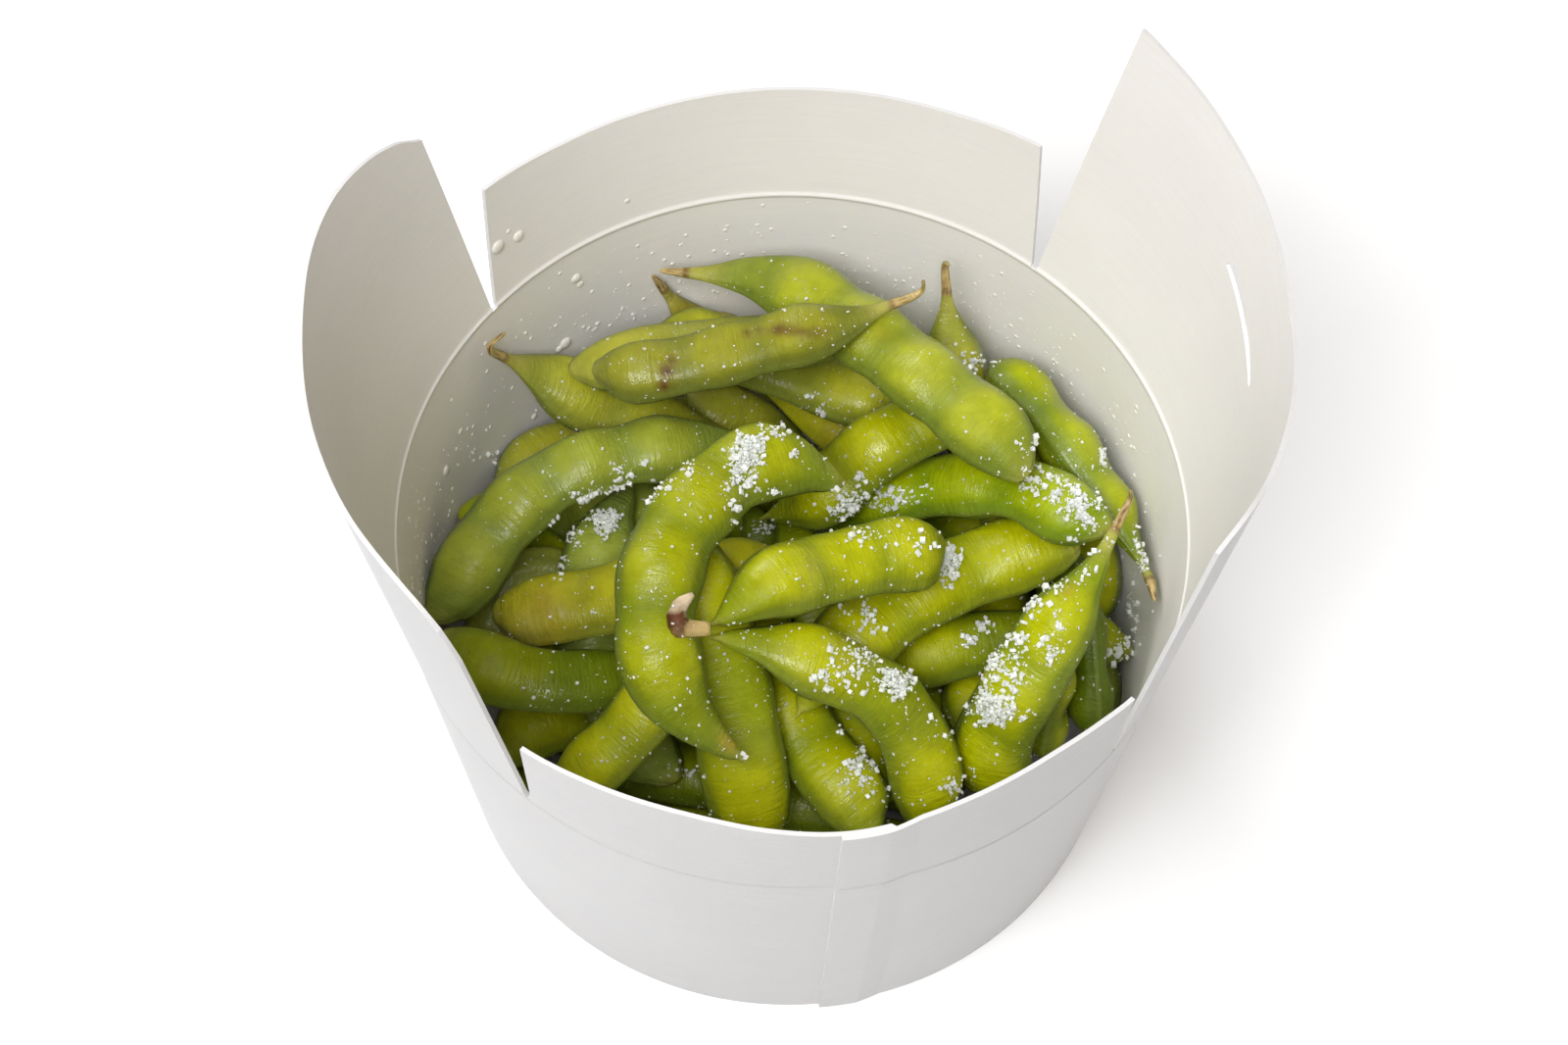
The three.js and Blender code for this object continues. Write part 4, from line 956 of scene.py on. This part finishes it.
def lay_grain(x, y, size, lift, lowest=LOWEST_GRAIN):
    """Lays one grain on the pods, or on the wall, where the photograph shows it."""
    ray = line_of_sight(x, y)
    hit, normal, _, span = pile.ray_cast(CAMERA_PLACE, ray)
    on_wall, wall_normal, _, wall_span = wall_tree.ray_cast(CAMERA_PLACE, ray)
    if on_wall is not None and (hit is None or wall_span < span):
        hit, normal = on_wall, wall_normal
        if max(math.hypot(hit.x, hit.y), hit.z) > WALL_GRAIN_LIMIT:
            return
    if hit is None or hit.z < lowest or normal.z < -0.2:
        return
    crystal(grain_points, grain_faces, hit + normal * size * 0.3 + Vector((0, 0, lift)), size, chance)


for x, y, across, along, tilt, count in SALT_HEAPS:
    cos_tilt, sin_tilt = math.cos(math.radians(tilt)), math.sin(math.radians(tilt))
    lumps = [(chance.gauss(0, 0.68), chance.gauss(0, 0.68)) for _ in range(LUMPS_PER_HEAP)]
    beside = [line_of_sight(x + dx, y + dy) for dx in BESIDE_HEAP for dy in BESIDE_HEAP]
    around = [pile.ray_cast(CAMERA_PLACE, ray)[0] for ray in beside]
    lowest = max([p.z for p in around if p is not None] or [0.0]) - HEAP_FALL * MM
    for _ in range(count):
        lump = chance.choice(lumps)
        u = (lump[0] + chance.gauss(0, 0.2)) * across
        v = (lump[1] + chance.gauss(0, 0.2)) * along
        size = chance.choice(HEAP_SIZES) * MM
        lift = chance.random() ** 2 * 0.5 * MM * math.exp(-(lump[0] ** 2 + lump[1] ** 2))
        lay_grain(x + u * cos_tilt - v * sin_tilt, y + u * sin_tilt + v * cos_tilt, size, lift, lowest)
for _ in range(LOOSE_GRAINS):
    turn, out = chance.uniform(0, 2 * math.pi), math.sqrt(chance.random())
    size = chance.choice(LOOSE_SIZES) * MM
    x = MOUTH_MIDDLE[0] + MOUTH_HALF[0] * out * math.cos(turn)
    y = MOUTH_MIDDLE[1] + MOUTH_HALF[1] * out * math.sin(turn)
    lay_grain(x, y, size, 0.0)
salt_piece("salt_grains", grain_points, grain_faces)


# Condensation. Steam from the hot pods has settled on the inside of the wall: a few flattened drops
# where the photograph shows them, and a fine mist of droplets below the crease.
water = bpy.data.materials.new("water_drop")
water.use_nodes = True
water_shader = water.node_tree.nodes["Principled BSDF"]
water_shader.inputs["Base Color"].default_value = (0.80, 0.78, 0.72, 1)
water_shader.inputs["Roughness"].default_value = 0.06
water_shader.inputs["IOR"].default_value = 1.33
water_shader.inputs["Subsurface Weight"].default_value = 0.6
water_shader.inputs["Subsurface Radius"].default_value = (0.002, 0.002, 0.002)
DROP_FLATNESS = 0.42
DROP_RINGS, DROP_SIDES = 4, 10
MIST_DROPS, MIST_SIZES = 420, (0.12, 0.18, 0.25, 0.4)
MIST_TURN, MIST_HEIGHT = (20, 200), (30, 62, 45)

# the drops that show in the photograph: their place there, and their radius in millimetres
DROPS = [
    (508, 252, 1.3), (529, 241, 1.1), (519, 236, 0.5), (588, 284, 1.0), (592, 290, 0.7), (577, 350, 1.2),
    (571, 356, 0.8), (455, 480, 1.0), (480, 575, 0.8), (640, 205, 0.5), (700, 240, 0.4), (545, 425, 0.7),
    (520, 455, 0.6), (740, 235, 0.4), (470, 440, 0.6), (610, 330, 0.5), (990, 340, 0.4),
]


def drop(points, faces, place, normal, radius):
    """Adds one flattened drop, sitting on a face."""
    side = normal.orthogonal().normalized()
    other = normal.cross(side)
    start = len(points)
    for i in range(DROP_RINGS):
        tilt = math.pi / 2 * i / DROP_RINGS
        reach, rise = math.cos(tilt) * radius, math.sin(tilt) * radius * DROP_FLATNESS
        for k in range(DROP_SIDES):
            a = 2 * math.pi * k / DROP_SIDES
            points.append(place + side * reach * math.cos(a) + other * reach * math.sin(a) + normal * rise)
    points.append(place + normal * radius * DROP_FLATNESS)
    for i in range(DROP_RINGS):
        for k in range(DROP_SIDES):
            a = start + i * DROP_SIDES + k
            b = start + i * DROP_SIDES + (k + 1) % DROP_SIDES
            if i < DROP_RINGS - 1:
                faces.append((a, b, b + DROP_SIDES, a + DROP_SIDES))
            else:
                faces.append((a, b, len(points) - 1))


drop_points, drop_faces = [], []
for x, y, radius in DROPS:
    hit, normal, _, _ = wall_tree.ray_cast(CAMERA_PLACE, line_of_sight(x, y))
    if hit is not None:
        drop(drop_points, drop_faces, hit, normal, radius * MM)
for _ in range(MIST_DROPS):
    turn, z = math.radians(chance.uniform(*MIST_TURN)), chance.triangular(*MIST_HEIGHT) * MM
    start = Vector((0, 0, z))
    hit, normal, _, _ = wall_tree.ray_cast(start, Vector((math.cos(turn), math.sin(turn), 0)))
    if hit is not None:
        drop(drop_points, drop_faces, hit, normal, chance.choice(MIST_SIZES) * MM)
drop_mesh = bpy.data.meshes.new("wall_drops")
drop_mesh.from_pydata([tuple(p) for p in drop_points], [], drop_faces)
drop_mesh.polygons.foreach_set("use_smooth", [True] * len(drop_faces))
drop_mesh.materials.append(water)
wall_drops = bpy.data.objects.new("wall_drops", drop_mesh)
bpy.context.scene.collection.objects.link(wall_drops)
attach(wall_drops, "root")
